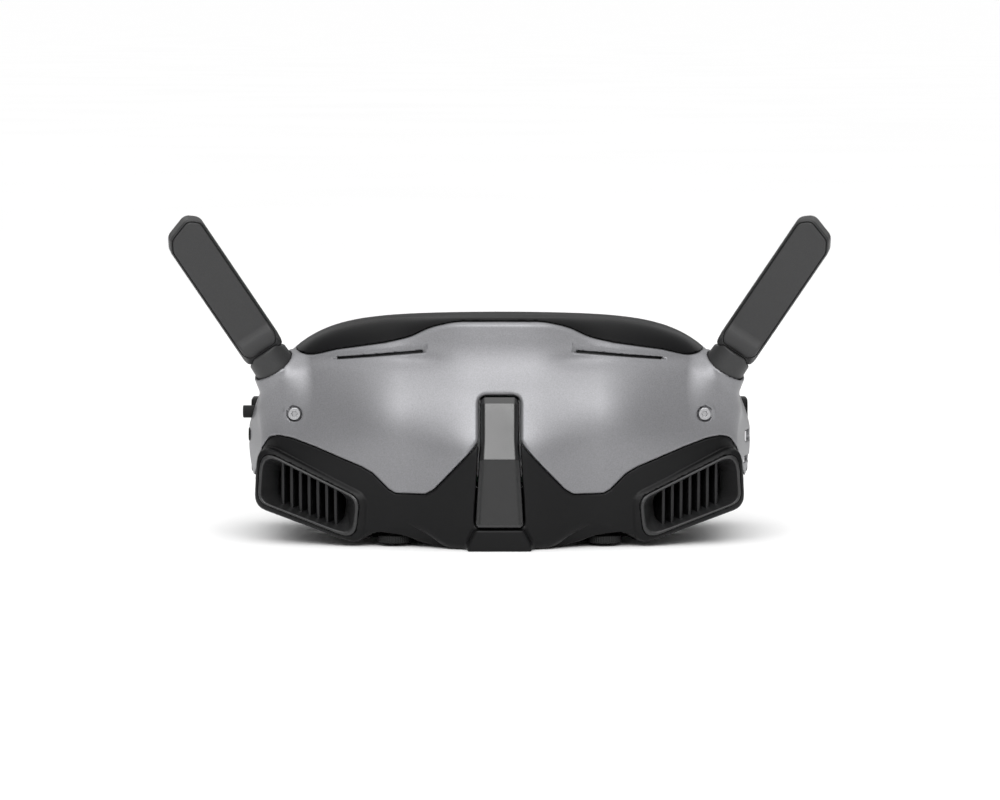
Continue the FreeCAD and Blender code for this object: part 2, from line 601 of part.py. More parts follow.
def build_vent(side, prefix):
    bezel = vent_prism(side, BEZEL, 0.0, dim("vent_depth"), 4.5)
    funnel = vent_prism(side, MOUTH, -0.01, dim("throat_depth"), 4.0, THROAT)
    tail = vent_prism(side, THROAT, dim("throat_depth") - 0.5, dim("vent_depth") + 1, 4.0)
    solid_node(prefix + "_vent_bezel", bezel.cut(funnel).cut(tail))

    # grille: a thin frame behind the throat and a row of upright fins
    depth, count = dim("vent_depth"), int(dim("fin_count"))
    frame = vent_prism(side, BEZEL, depth, depth + 1.4, 4.5)
    frame = frame.cut(vent_prism(side, THROAT, depth - 1, depth + 3, 4.0))
    place = vent_placement(side)
    fins = []
    for i in range(count):
        across = FIN_FIRST + (FIN_LAST - FIN_FIRST) * i / (count - 1)
        fin = Part.makeBox(dim("fin_thickness"), dim("fin_depth") + 1.4, 34,
                           Vector(-side * across - dim("fin_thickness") / 2, depth - dim("fin_depth"), 0))
        fin.Placement = place.multiply(fin.Placement)
        fins.append(fin)
    inside = vent_prism(side, THROAT, depth - dim("fin_depth") - 0.5, depth + 1.4, 4.0)
    behind = vent_prism(side, BEZEL, depth, depth + 1.4, 4.5)
    blades = fins[0].multiFuse(fins[1:])
    grille = frame.fuse(blades.common(inside)).fuse(blades.common(behind))
    solid_node(prefix + "_vent_grille", grille)


# ---------------------------------------------------------------- optics


SHELF_Z, RACK_FLOOR, RACK_OFFSET = 10.4, 8.0, 3.7


def build_eye(side, prefix):
    x, z = side * dim("eye_x"), dim("eye_z")
    fit = dim("slide_fit")
    front, depth = dim("carriage_front"), dim("carriage_depth")

    # carriage: slides on the two rods, guides the barrel, and carries the knob on a front shelf
    body = block(prefix + "_carriage_block", (x - dim("carriage_half"), front, z - 22.8),
                 "2*dims.carriage_half", "dims.carriage_depth", "45.6")
    y_knob = -dim("knob_y")
    shelf_x = x - 6.0 if side > 0 else x - 1.2
    shelf = block(prefix + "_carriage_shelf", (shelf_x, y_knob, SHELF_Z), "7.2", "dims.knob_y - 5.0", "3.0")
    boss = cylinder(prefix + "_carriage_boss", (x, y_knob, SHELF_Z), Rotation(), "2.4", "3.0")
    gusset = block(prefix + "_carriage_gusset", (shelf_x, front - 2.0, SHELF_Z), "7.2", "4.0", "5.0")
    bore = cylinder(prefix + "_carriage_bore", (x, front - 1, z), TOWARD_REAR,
                    "dims.barrel_radius + dims.slide_fit", "dims.carriage_depth + 2")
    rods = [cylinder(prefix + "_carriage_rod_bore%d" % i, (x - 30, dim("rod_y"), z + s * dim("rod_offset")),
                     TOWARD_X, "dims.rod_radius + dims.slide_fit", "60") for i, s in enumerate((-1, 1))]
    axle = cylinder(prefix + "_carriage_axle_bore", (x, y_knob, 9), Rotation(), "1.2 + dims.slide_fit", "6")
    rack_x = x - side * RACK_OFFSET
    arm_room = block(prefix + "_carriage_arm_room", (rack_x - 2.3, -13.5, 5.0), "4.6", "9.7", "16")
    ears = [block(prefix + "_carriage_ear%d" % i, (ear_x, front - dim("display_gap"), z - 10),
                  "2.5", "dims.display_gap + 0.5", "20")
            for i, ear_x in enumerate((x - 20.5, x + 18.0))]
    carriage = cut(prefix + "_carriage", fuse(prefix + "_carriage", body, shelf, boss, gusset, *ears),
                   bore, *rods, axle, arm_room)
    node(carriage, prefix + "_lens_carriage")

    # barrel: ringed tube that slides in the carriage, with a rack bar under it
    radius, length, start = dim("barrel_radius"), dim("barrel_length"), dim("barrel_front")
    tube = turned_body(prefix + "_barrel_tube", [
        ("dims.lens_radius - 1.5", "0"), ("dims.barrel_radius", "0"),
        ("dims.barrel_radius", "dims.barrel_length"), ("dims.lens_radius", "dims.barrel_length"),
        ("dims.lens_radius", "dims.barrel_length - dims.lens_thickness - 1"),
        ("dims.lens_radius - 1.5", "dims.barrel_length - dims.lens_thickness - 1")],
        (x, start, z), TOWARD_REAR)
    arm = block(prefix + "_rack_arm", (rack_x - 1.7, start + 0.4, RACK_FLOOR), "3.4", "2.4", "12.0")
    bar = block(prefix + "_rack_bar", (rack_x - 1.7, y_knob - 1.6, RACK_FLOOR), "3.4", "dims.knob_y - 7.0", "2.1")
    node(fuse(prefix + "_barrel", tube, arm, bar), prefix + "_lens_barrel")

    # biconvex eye lens seated in the barrel's mouth
    lens = turned_body(prefix + "_eye_lens", [
        ("0", "0"), ("dims.lens_radius", "0.9"), ("dims.lens_radius", "dims.lens_thickness - 1.2"),
        ("dims.lens_radius * 0.7", "dims.lens_thickness - 0.4"), ("0", "dims.lens_thickness")],
        (x, start + length - dim("lens_thickness") - 1.0, z), TOWARD_REAR)
    node(lens, prefix + "_eye_lens")

    # display module across the carriage's two ears
    display = block(prefix + "_display", (x - dim("display_width") / 2,
                                          front - dim("display_gap") - dim("display_depth"),
                                          z - dim("display_size") / 2),
                    "dims.display_width", "dims.display_depth", "dims.display_size")
    node(display, prefix + "_display_module")

    # knob: a disc that shows in the scoop, a pinion on the rack and an axle in the shelf
    knob = turned_body(prefix + "_knob", [
        ("0", "0"), ("dims.knob_radius - 0.5", "0"), ("dims.knob_radius", "0.5"),
        ("dims.knob_radius", "dims.knob_height"), ("1.6", "dims.knob_height"), ("1.6", "6.6"),
        ("dims.pinion_radius - 0.05", "6.6"), ("dims.pinion_radius - 0.05", "9.2"), ("1.2", "9.2"),
        ("1.2", "12.2"), ("0", "12.2")], (x, -dim("knob_y"), dim("knob_floor")), Rotation())
    node(knob, prefix + "_diopter_knob")


def build_optics_frame():
    """Plate with two eye windows and end cheeks that hold the guide rods."""
    plate = block("optics_plate", (-dim("rod_half"), 3.6, 12), "2*dims.rod_half", "1.3", "46.4")
    cheeks = [block("optics_cheek%d" % i, (x, -6.4, 12), "1.5", "11.3", "46.4")
              for i, x in enumerate((-dim("rod_half"), dim("rod_half") - 1.5))]
    tools = []
    for side in (-1, 1):
        x = side * dim("eye_x")
        half = dim("barrel_radius") + dim("eye_travel") + 0.8
        tools.append(block("optics_window%d" % side, (x - half, 2, dim("eye_z") - 18.4),
                           "2*(dims.barrel_radius + dims.eye_travel + 0.8)", "4", "36.8"))
    for s in (-1, 1):
        tools.append(cylinder("optics_rod_bore%d" % s, (-70, dim("rod_y"), dim("eye_z") + s * dim("rod_offset")),
                              TOWARD_X, "dims.rod_radius", "140"))
    solid = fuse("optics_frame", plate, *cheeks)
    nose = doc.addObject("Part::Feature", "optics_nose_room")
    nose.Shape = nose_prism(1.9, -20.0, 30.0)
    node(cut("optics_frame", solid, *tools, nose), "optics_frame")
    for s, word in ((-1, "lower"), (1, "upper")):
        rod = cylinder(word + "_guide_rod", (-dim("rod_half"), dim("rod_y"), dim("eye_z") + s * dim("rod_offset")),
                       TOWARD_X, "dims.rod_radius", "2*dims.rod_half")
        node(rod, word + "_guide_rod")


# ---------------------------------------------------------------- front details


TONGUE_SHOULDER = 34.0


def build_front_details():
    # centre tongue: a rib whose face bends at mid height, in a notch of both front mouldings
    top, foot, thick = dim("tongue_top"), dim("tongue_foot"), dim("tongue_thickness")
    face = [(43.2, top), (45.1, top - 1.8), (50.6, 28.5), (51.4, foot)]
    back = [(y - thick, z) for y, z in reversed(face)]
    half, chin_half = dim("tongue_half"), dim("tongue_chin")
    profile = [Vector(-chin_half, -y, z) for y, z in face + back]
    tongue = Part.Face(Part.makePolygon(profile + profile[:1])).extrude(Vector(2 * chin_half, 0, 0))
    outline = [(0, top), (half - 1.5, top), (half, top - 1.5), (half, TONGUE_SHOULDER), (chin_half, foot), (0, foot)]
    solid_node("center_tongue", tongue.common(prism(mirrored(outline), -60.0, -30.0)))

    for side, prefix in ((-1, "right"), (1, "left")):
        liner = slot_prism(side, 1.6, -40.0, -18.0).cut(slot_prism(side, 0.3, -41.0, -17.0))
        solid_node(prefix + "_brow_duct", liner.common(body_solid(dim("wall") + 0.02)))

    screws = []
    for side in (-1, 1):
        x, z = side * dim("screw_x"), dim("screw_z")
        y = -front_depth(x, z) - 0.6
        name = "front_screw%d" % (side + 1)
        head = cylinder(name + "_head", (x, y, z), TOWARD_REAR, "dims.screw_head", "1.4")
        shank = cylinder(name + "_shank", (x, y, z), TOWARD_REAR, "1.1", "dims.screw_length")
        socket = bound("Part::Prism", name + "_socket", (x, y - 0.1, z), TOWARD_REAR,
                       Circumradius="0.95", Height="1.1")
        screws.append(cut(name, fuse(name, head, shank), socket))
    node(group("front_screws", *screws), "front_screws")


# ---------------------------------------------------------------- controls on the wearer's right


def build_controls():
    y, z, pivot = dim("stick_y"), dim("stick_z"), dim("stick_pivot")
    board_x = dim("board_x")
    outward = Rotation(Vector(0, 1, 0), -90)
    board = block("key_board", (-board_x, -8.0, 26.0), "1.6", "13", "18")
    node(board, "key_board")

    # joystick: base with two posts, gimbal ring on Y pins, stem on Z pins, cap that slides on the stem
    base = block("stick_base", (-board_x - 2.2, y - 3.4, z - 3.0), "2.2", "6.8", "6.0")
    posts = [block("stick_post%d" % i, (-pivot - 0.9, py, z - 1.0), "3.1", "0.6", "2.0")
             for i, py in enumerate((y - 3.1, y + 2.5))]
    hole = cylinder("stick_post_bore", (-pivot, y - 5, z), TOWARD_REAR, "0.4", "10")
    node(cut("joystick_base", fuse("joystick_base", base, *posts), hole), "joystick_base")
    ring = cylinder("gimbal_ring", (-pivot + 0.5, y, z), outward, "2.1", "1.0")
    ring_bore = cylinder("gimbal_bore", (-pivot + 1.0, y, z), outward, "1.45", "2.0")
    y_pin = cylinder("gimbal_pin", (-pivot, y - 3.0, z), TOWARD_REAR, "0.35", "6.0")
    clear = cylinder("gimbal_clear", (-pivot, y - 1.45, z), TOWARD_REAR, "0.5", "2.9")
    z_bore = cylinder("gimbal_z_bore", (-pivot, y, z - 4), Rotation(), "0.4", "8")
    gimbal = cut("joystick_gimbal", fuse("joystick_gimbal", cut("gimbal_ring", ring, ring_bore),
                                         cut("gimbal_pin", y_pin, clear)), z_bore)
    node(gimbal, "joystick_gimbal")
    rod = cylinder("stick_rod", (-pivot + 1.0, y, z), outward, "0.8", "6.2")
    z_pin = cylinder("stick_pin", (-pivot, y, z - 2.0), Rotation(), "0.35", "4.0")
    node(fuse("joystick_stem", rod, z_pin), "joystick_stem")
    cap = turned_body("stick_cap", [
        ("0.85", "0"), ("dims.stick_radius", "0"), ("dims.stick_radius", "3.4"), ("dims.stick_radius - 0.5", "3.9"),
        ("0", "3.9"), ("0", "2.9"), ("0.85", "2.9")], (-dim("stick_reach") + 3.9, y, z), outward)
    node(cap, "joystick_cap")

    # back button with a retaining flange, over its switch
    z, radius = dim("button_z"), dim("button_radius")
    button = turned_body("back_key", [
        ("0", "0"), ("dims.button_radius + 0.8", "0"), ("dims.button_radius + 0.8", "0.7"),
        ("dims.button_radius", "0.7"), ("dims.button_radius", "3.5"), ("dims.button_radius - 0.4", "3.85"),
        ("0", "3.85")], (-76.3, y, z), outward)
    node(button, "back_button")
    switch = block("back_switch", (-75.6, y - 2.2, z - 2.2), "4.6", "4.4", "4.4")
    node(switch, "back_switch")


# ---------------------------------------------------------------- electronics and cooling


def build_electronics():
    floor = dim("eye_z") - dim("board_height") / 2 - 2.0
    half, y = dim("board_half"), dim("board_y")
    board = block("main_board", (-half, y, floor), "2*dims.board_half", "dims.board_thickness",
                  "dims.board_height")
    node(board, "main_board")

    base = block("sink_base", (-dim("sink_half"), y - 2.0, 22.0), "2*dims.sink_half", "2.0", "dims.sink_height")
    count = 9
    pitch = (2 * dim("sink_half") - 1.2) / (count - 1)
    fins = [block("sink_fin%d" % i, (-dim("sink_half") + i * pitch, y - 1.9 - dim("sink_fin"), 22.0), "1.2",
                  "dims.sink_fin", "dims.sink_height") for i in range(count)]
    node(fuse("heat_sink", base, *fins), "heat_sink")

    # blower behind the board: open towards the rear, outlet at the top
    size, thick, centre = dim("fan_size"), dim("fan_thickness"), dim("eye_z")
    y_fan = y + dim("board_thickness") + 0.2
    case = block("fan_case", (-size / 2, y_fan, centre - size / 2), "dims.fan_size", "dims.fan_thickness",
                 "dims.fan_size")
    bore = cylinder("fan_bore", (0, y_fan + 1.4, centre), TOWARD_REAR, "dims.fan_bore", "dims.fan_thickness")
    outlet = block("fan_outlet", (-9, y_fan + 1.4, centre), "18", "dims.fan_thickness", "20")
    axle = cylinder("fan_axle", (0, y_fan + 1.0, centre), TOWARD_REAR, "1.0", "6.0")
    node(fuse("fan_housing", cut("fan_housing", case, bore, outlet), axle), "fan_housing")
    hub = cylinder("rotor_hub", (0, y_fan + 1.8, centre), TOWARD_REAR, "dims.rotor_hub", "5.0")
    blades = []
    for i in range(9):
        blade = block("rotor_blade%d" % i, (0, 0, 0), "dims.rotor_radius", "0.9", "5.0")
        turn = Rotation(Vector(0, 0, 1), 40.0 * i)
        blade.Placement = Placement(Vector(0, y_fan + 1.8, centre), TOWARD_REAR * turn)
        blades.append(blade)
    rotor_bore = cylinder("rotor_bore", (0, y_fan, centre), TOWARD_REAR, "1.05", "10")
    node(cut("fan_rotor", fuse("fan_rotor", hub, *blades), rotor_bore), "fan_rotor")

    # sockets on the wearer's left, soldered to their own small board
    x, usb_z, card_z = dim("board_x"), dim("usb_z"), dim("card_z")
    node(block("socket_board", (x - 1.6, -8.0, 22.0), "1.6", "13", "16"), "socket_board")
    shell = block("usb_shell", (x, -6.0, usb_z - 1.6), "7.4", "9.0", "3.2")
    cavity = block("usb_cavity", (x + 1.0, -5.7, usb_z - 1.3), "7.0", "8.4", "2.6")
    tongue = block("usb_tongue", (x + 0.5, -4.85, usb_z - 0.35), "5.6", "6.7", "0.7")
    node(fuse("usb_c_socket", cut("usb_c_socket", shell, cavity), tongue), "usb_c_socket")
    tray = block("card_tray", (x, -7.0, card_z - 0.8), "6.8", "12.0", "1.6")
    slit = block("card_slit", (x + 1.0, -6.5, card_z - 0.4), "7.0", "11.0", "0.8")
    node(cut("card_socket", tray, slit), "card_socket")


# ---------------------------------------------------------------- rear details


def build_rear_details():
    rear = dim("face_centre")
    foam_front = rear - dim("foam_thickness")
    solid_node("face_foam", face_ring(foam_front, rear, 0.0))
    solid_node("face_frame", face_ring(foam_front - dim("frame_thickness"), foam_front, 1.2))

    # eye panel: closes the housing around the two barrels
    front, thick = dim("panel_front"), dim("panel_thickness")
    panel = body_solid(dim("wall") + 0.4).common(Part.makeBox(200, thick, 120, Vector(-100, front, -20)))
    half = dim("barrel_radius") + 0.6
    screws = [(-66.0, 44.0), (66.0, 44.0), (-66.0, 26.0), (66.0, 26.0), (0.0, 62.5)]
    for side in (-1, 1):
        x, z = side * dim("eye_x"), dim("eye_z")
        travel = dim("eye_travel")
        panel = panel.cut(Part.makeBox(2 * travel, 10, 2 * half, Vector(x - travel, front - 4, z - half)))
        for shift in (-travel, travel):
            panel = panel.cut(Part.makeCylinder(half, 10, Vector(x + shift, front - 4, z), Vector(0, 1, 0)))
    for x, z in screws:
        panel = panel.cut(Part.makeCylinder(1.15, 10, Vector(x, front - 4, z), Vector(0, 1, 0)))
    solid_node("eye_panel", panel.cut(nose_prism(dim("bridge_wall") + 0.2, -20.0, 30.0)))

    parts = []
    for i, (x, z) in enumerate(screws):
        y = front + thick
        head = cylinder("panel_screw%d_head" % i, (x, y, z), TOWARD_REAR, "2.0", "1.3")
        shank = cylinder("panel_screw%d_shank" % i, (x, y - 7.0, z), TOWARD_REAR, "1.05", "7.2")
        socket = bound("Part::Prism", "panel_screw%d_socket" % i, (x, y + 0.5, z), TOWARD_REAR,
                       Circumradius="0.9", Height="1.2")
        parts.append(cut("panel_screw%d" % i, fuse("panel_screw%d" % i, head, shank), socket))
    node(group("panel_screws", *parts), "panel_screws")
    window = cylinder("proximity_window", (0, front + thick, 44.0), TOWARD_REAR, "3.0", "0.8")
    node(window, "proximity_window")

    # headband lugs on the sides of the rear housing
    for side, prefix in ((-1, "right"), (1, "left")):
        reach, length, floor = dim("lug_reach"), dim("lug_length"), dim("lug_floor")
        low = 74.0 if side > 0 else -reach
        lug = Part.makeBox(reach - 74.0, length, dim("lug_height"), Vector(low, dim("lug_y"), floor))
        along = [e for e in lug.Edges if abs(e.Vertexes[0].Point.x - e.Vertexes[1].Point.x) > 1]
        lug = lug.makeFillet(3.0, along).cut(body_solid(0.0))
        centre = Vector(side * 70.0, LUG_Y, LUG_Z)
        lug = lug.cut(Part.makeCylinder(dim("lug_bore"), 20, centre, Vector(side, 0, 0)))
        solid_node(prefix + "_headband_lug", lug)


# ---------------------------------------------------------------- assembly

shell_shape, cowl_shape, roof_shape, nose_shape = build_static_shells()
solid_node("front_shell", shell_shape)
solid_node("lower_cowl", cowl_shape)
solid_node("rear_housing", build_rear_housing(roof_shape, nose_shape))
for side, prefix in ((-1, "right"), (1, "left")):
    build_antenna(side, prefix)
    build_vent(side, prefix)
    build_eye(side, prefix)
build_optics_frame()

build_front_details()
build_controls()
build_electronics()
build_rear_details()


def export():
    """Check every object, then write one STEP file per sub-part."""
    doc.recompute()
    for obj in doc.Objects:
        bad = [s for s in obj.State if s in ("Invalid", "Error")]
        if bad:
            raise RuntimeError("%s is %s" % (obj.Name, bad))
    os.makedirs("parts", exist_ok=True)
    for obj in NODES:
        shape = obj.Shape
        if shape.isNull() or not shape.isValid():
            raise RuntimeError("%s has a bad shape" % obj.Label)
        shape.exportStep("parts/%s.step" % obj.Label)
        print("%-24s solids %d volume %.0f" % (obj.Label, len(shape.Solids), shape.Volume))


export()
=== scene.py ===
"""FPV goggles: the visual model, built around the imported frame.

Shapes are signed fields in millimetres, negative inside, in the frame's own axes: +X to the left of
the wearer, -Y to the front, +Z up. Each field is meshed, then its vertices are moved onto the surface.
"""
import json
import math

import bpy
import numpy as np
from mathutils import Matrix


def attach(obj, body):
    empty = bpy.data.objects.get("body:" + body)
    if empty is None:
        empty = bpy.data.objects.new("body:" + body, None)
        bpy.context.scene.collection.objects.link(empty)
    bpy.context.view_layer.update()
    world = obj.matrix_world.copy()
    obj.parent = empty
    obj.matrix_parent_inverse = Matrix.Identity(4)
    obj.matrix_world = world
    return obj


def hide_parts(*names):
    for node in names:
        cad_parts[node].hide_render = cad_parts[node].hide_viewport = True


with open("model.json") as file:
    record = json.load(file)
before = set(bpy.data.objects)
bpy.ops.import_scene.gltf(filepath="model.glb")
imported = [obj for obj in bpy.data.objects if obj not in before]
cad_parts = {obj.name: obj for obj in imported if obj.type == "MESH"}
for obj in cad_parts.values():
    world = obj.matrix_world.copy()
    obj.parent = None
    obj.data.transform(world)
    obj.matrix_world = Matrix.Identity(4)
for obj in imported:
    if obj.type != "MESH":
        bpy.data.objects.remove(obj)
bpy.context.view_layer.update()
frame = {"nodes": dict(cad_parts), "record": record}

import openvdb
from mathutils import Vector

MM = 0.001
SHELL_STEP = 0.55
DETAIL_STEP = 0.28
RECORD = frame["record"]
JOINTS = {joint["name"]: joint for joint in RECORD["behaviour"]["joints"]}
SIDES = ((-1, "right"), (1, "left"))

# ---- fields


def blend(start, end, value):
    """Smooth step from 0 at start to 1 at end."""
    part = np.clip((value - start) / (end - start), 0.0, 1.0)
    return part * part * (3 - 2 * part)


def both(first, second, radius=0.0):
    """Intersection of two fields with a rounded edge."""
    if isinstance(radius, float) and radius == 0.0:
        return np.maximum(first, second)
    u, v = np.maximum(radius + first, 0.0), np.maximum(radius + second, 0.0)
    return np.minimum(-radius, np.maximum(first, second)) + np.sqrt(u * u + v * v)


def either(first, second, radius=0.0):
    """Union of two fields with a filleted corner."""
    return -both(-first, -second, radius)


def without(first, second, radius=0.0):
    return both(first, -second, radius)


def chamfered(first, second, size, radius=0.3):
    """Intersection of two fields with a flat chamfer of that size, its own edges rounded."""
    edge = (first + second + size) * math.sqrt(0.5)
    return both(both(first, edge, radius), second, radius)


def box_field(x, y, z, low, high, radius=0.0):
    """Block between two corners, with rounded edges."""
    field = None
    for value, a, b in zip((x, y, z), low, high):
        slab = np.abs(value - (a + b) / 2) - (b - a) / 2
        field = slab if field is None else both(field, slab, radius)
    return field


def rounded(points, radius, steps=5):
    """Closed outline with its corners rounded to a radius, or to what its sides leave room for."""
    outline = []
    count = len(points)
    for i, corner in enumerate(points):
        corner = np.array(corner, float)
        arms = [np.array(points[i - 1], float) - corner, np.array(points[(i + 1) % count], float) - corner]
        lengths = [np.linalg.norm(arm) for arm in arms]
        arms = [arm / length for arm, length in zip(arms, lengths)]
        half_angle = math.acos(np.clip(arms[0] @ arms[1], -1, 1)) / 2
        if half_angle > 1.55:
            outline.append(tuple(corner))
            continue
        reach = min(radius / math.tan(half_angle), 0.49 * min(lengths))
        ends = [corner + arm * reach for arm in arms]
        for j in range(steps + 1):
            part = j / steps
            point = (1 - part) ** 2 * ends[0] + 2 * part * (1 - part) * corner + part ** 2 * ends[1]
            outline.append(tuple(point))
    return outline


def outline_distance(outline, u, v):
    """Signed distance from (u, v) to a closed outline."""
    u, v = np.broadcast_arrays(u, v)
    nearest = np.full(u.shape, np.inf)
    inside = np.zeros(u.shape, bool)
    for (ax, ay), (bx, by) in zip(outline, outline[1:] + outline[:1]):
        ex, ey = bx - ax, by - ay
        wx, wy = u - ax, v - ay
        along = np.clip((wx * ex + wy * ey) / (ex * ex + ey * ey), 0.0, 1.0)
        nearest = np.minimum(nearest, (wx - ex * along) ** 2 + (wy - ey * along) ** 2)
        if ey != 0:
            inside ^= ((ay > v) != (by > v)) & (u < ax + ex * wy / ey)
    return np.where(inside, -1.0, 1.0) * np.sqrt(nearest)


# ---- meshes


def mesh_piece(name, field, low, high, step, near=None, place=None):
    """Closed mesh of a field's surface inside the box from low to high.

    near picks the points worth evaluating, as a cheap first test. place is (origin, three axes) for a
    field that has a frame of its own.
    """
    counts = [int(math.ceil((b - a) / step)) + 1 for a, b in zip(low, high)]
    x, y, z = (low[i] + step * np.arange(counts[i]).reshape([-1 if i == j else 1 for j in range(3)])
               for i in range(3))
    limit = 3 * step
    values = np.full(counts, limit, np.float32)
    if near is None:
        values[...] = field(x, y, z)
    else:
        chosen = np.nonzero(np.broadcast_to(near(x, y, z), counts))
        values[chosen] = field(*(low[i] + step * chosen[i] for i in range(3)))
    grid = openvdb.FloatGrid(limit)
    grid.copyFromArray(np.clip(values, -limit, limit))
    points, quads = grid.convertToQuads(0.0)
    points = np.array(points, float) * step + np.array(low)
    for _ in range(4):
        value, slope = field_slope(field, points)
        steep = np.maximum((slope ** 2).sum(1), 0.3)
        move = slope * (value / steep)[:, None]
        size = np.sqrt((move ** 2).sum(1))
        points -= move * np.minimum(1.0, 0.4 * step / np.maximum(size, 1e-9))[:, None]
    normals = field_slope(field, points)[1]
    normals /= np.maximum(np.linalg.norm(normals, axis=1), 1e-9)[:, None]
    if place is not None:
        origin, axes = np.array(place[0]), np.array(place[1])
        points = origin + points @ axes
        normals = normals @ axes
    return add_mesh(name, points, quads, normals)


def field_slope(field, points, reach=0.03):
    """Value and gradient of a field at a list of points."""
    slope = np.empty_like(points)
    for i in range(3):
        ends = []
        for sign in (1, -1):
            shifted = points.copy()
            shifted[:, i] += sign * reach
            ends.append(field(shifted[:, 0], shifted[:, 1], shifted[:, 2]))
        slope[:, i] = (ends[0] - ends[1]) / (2 * reach)
    return field(points[:, 0], points[:, 1], points[:, 2]), slope


def add_mesh(name, points, faces, normals=None):
    """Object from points in millimetres; faces are turned to agree with the normals."""
    faces = np.array(faces)
    if normals is not None:
        a, b, c = (points[faces[:, i]] for i in (0, 1, 2))
        agree = (np.cross(b - a, c - a) * normals[faces[:, 0]]).sum()
        if agree < 0:
            faces = faces[:, ::-1]
    mesh = bpy.data.meshes.new(name)
    mesh.from_pydata((points * MM).tolist(), [], faces.tolist())
    mesh.validate()
    mesh.polygons.foreach_set("use_smooth", [True] * len(mesh.polygons))
    mesh.update()
    if normals is not None and len(mesh.vertices) == len(points):
        mesh.normals_split_custom_set_from_vertices(normals.tolist())
    obj = bpy.data.objects.new(name, mesh)
    bpy.context.scene.collection.objects.link(obj)
    return obj


def finish_piece(obj, node, slot, body="housing", material=None):
    """CAD node, record slot, body and material of a piece; the material is the slot's own if not given."""
    obj.data.materials.append(material or SLOT_MATERIALS[slot])
    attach(obj, body)
    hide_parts(node)


def add_piece(name, field, low, high, step, node, slot, body="housing", material=None, near=None, place=None):
    finish_piece(mesh_piece(name, field, low, high, step, near, place), node, slot, body, material)


# ---- materials


def new_material(name):
    material = bpy.data.materials.new(name)
    material.use_nodes = True
    return material, material.node_tree, material.node_tree.nodes["Principled BSDF"]


def wire(tree, node, inputs):
    """Sets each named input of a node to a value, or links it to the socket it is given."""
    for name, value in inputs.items():
        if isinstance(value, bpy.types.NodeSocket):
            tree.links.new(value, node.inputs[name])
        else:
            node.inputs[name].default_value = value
    return node


def add_node(tree, kind, inputs):
    return wire(tree, tree.nodes.new("ShaderNode" + kind), inputs)


def math_node(tree, operation, *sources):
    node = add_node(tree, "Math", {})
    node.operation = operation
    for source, socket in zip(sources, node.inputs):
        tree.links.new(source, socket)
    return node.outputs["Value"]


def shades(colour, low, high):
    """A darker and a lighter version of a colour."""
    return [c * low for c in colour], [c * high for c in colour]


def object_space(tree):
    return add_node(tree, "TexCoord", {}).outputs["Object"]


def noise(tree, scale, detail=2.0, roughness=0.5, stretch=None):
    """Noise in object space; scale is features per metre."""
    source = object_space(tree)
    if stretch:
        source = add_node(tree, "Mapping", {"Scale": stretch, "Vector": source}).outputs["Vector"]
    texture = {"Scale": scale, "Detail": detail, "Roughness": roughness, "Vector": source}
    return add_node(tree, "TexNoise", texture).outputs["Fac"]


def ramp(tree, source, low, high, start=0.3, end=0.7):
    """Colour or grey value that runs from low to high as the source runs from start to end."""
    grey = isinstance(low, (int, float))
    ends = {"From Min": start, "From Max": end, "To Min": low if grey else 0.0, "To Max": high if grey else 1.0}
    result = add_node(tree, "MapRange", {**ends, "Value": source}).outputs["Result"]
    if grey:
        return result
    mix = add_node(tree, "Mix", {})
    mix.data_type = "RGBA"
    wire(tree, mix, {"A": (*low, 1), "B": (*high, 1), "Factor": result})
    return mix.outputs["Result"]


def add_bump(tree, shader, height, depth):
    """Bump from a height between 0 and 1, on top of any bump before it; depth in metres."""
    bump = add_node(tree, "Bump", {"Strength": 1.0, "Distance": depth, "Height": height})
    if shader.inputs["Normal"].links:
        wire(tree, bump, {"Normal": shader.inputs["Normal"].links[0].from_socket})
    wire(tree, shader, {"Normal": bump.outputs["Normal"]})


def moulded_plastic(name, colour, roughness, grain=9000, depth=2.5e-5, spread=0.12, specular=0.5):
    """Spark-textured moulding: fine grain in its colour and relief, and a gloss that drifts slowly."""
    material, tree, shader = new_material(name)
    fine = noise(tree, grain, 2.0, 0.6)
    wire(tree, shader, {"Base Color": ramp(tree, fine, *shades(colour, 1 - spread, 1 + spread)),
                        "Roughness": ramp(tree, noise(tree, 45, 3.0), roughness - 0.06, roughness + 0.06),
                        "Specular IOR Level": specular})
    add_bump(tree, shader, fine, depth)
    return material


def metallic_paint(name, colour, roughness):
    """Satin paint with fine metal flakes."""
    material, tree, shader = new_material(name)
    flakes = noise(tree, 2600, 4.0, 0.75)
    wire(tree, shader, {"Base Color": ramp(tree, flakes, *shades(colour, 0.80, 1.22), 0.25, 0.75),
                        "Roughness": ramp(tree, noise(tree, 30, 2.0), roughness - 0.03, roughness + 0.03),
                        "Metallic": 0.55})
    add_bump(tree, shader, flakes, 1.6e-5)
    return material


def brushed_metal(name, colour, roughness, stretch=(1, 1, 14)):
    material, tree, shader = new_material(name)
    streaks = noise(tree, 2600, 3.0, 0.6, stretch)
    wire(tree, shader, {"Base Color": ramp(tree, streaks, *shades(colour, 0.85, 1.0)),
                        "Roughness": ramp(tree, streaks, roughness - 0.07, roughness + 0.07),
                        "Metallic": 1.0})
    add_bump(tree, shader, streaks, 6e-6)
    return material


def coated_glass(name, colour, roughness=0.03):
    """Lens with an anti-reflection tint that drifts across it."""
    material, tree, shader = new_material(name)
    wire(tree, shader, {"Base Color": ramp(tree, noise(tree, 60, 1.0), *shades(colour, 0.75, 1.0)),
                        "Roughness": ramp(tree, noise(tree, 700, 2.0), roughness, roughness + 0.05),
                        "IOR": 1.52, "Coat Weight": 0.4, "Coat Roughness": 0.02})
    return material


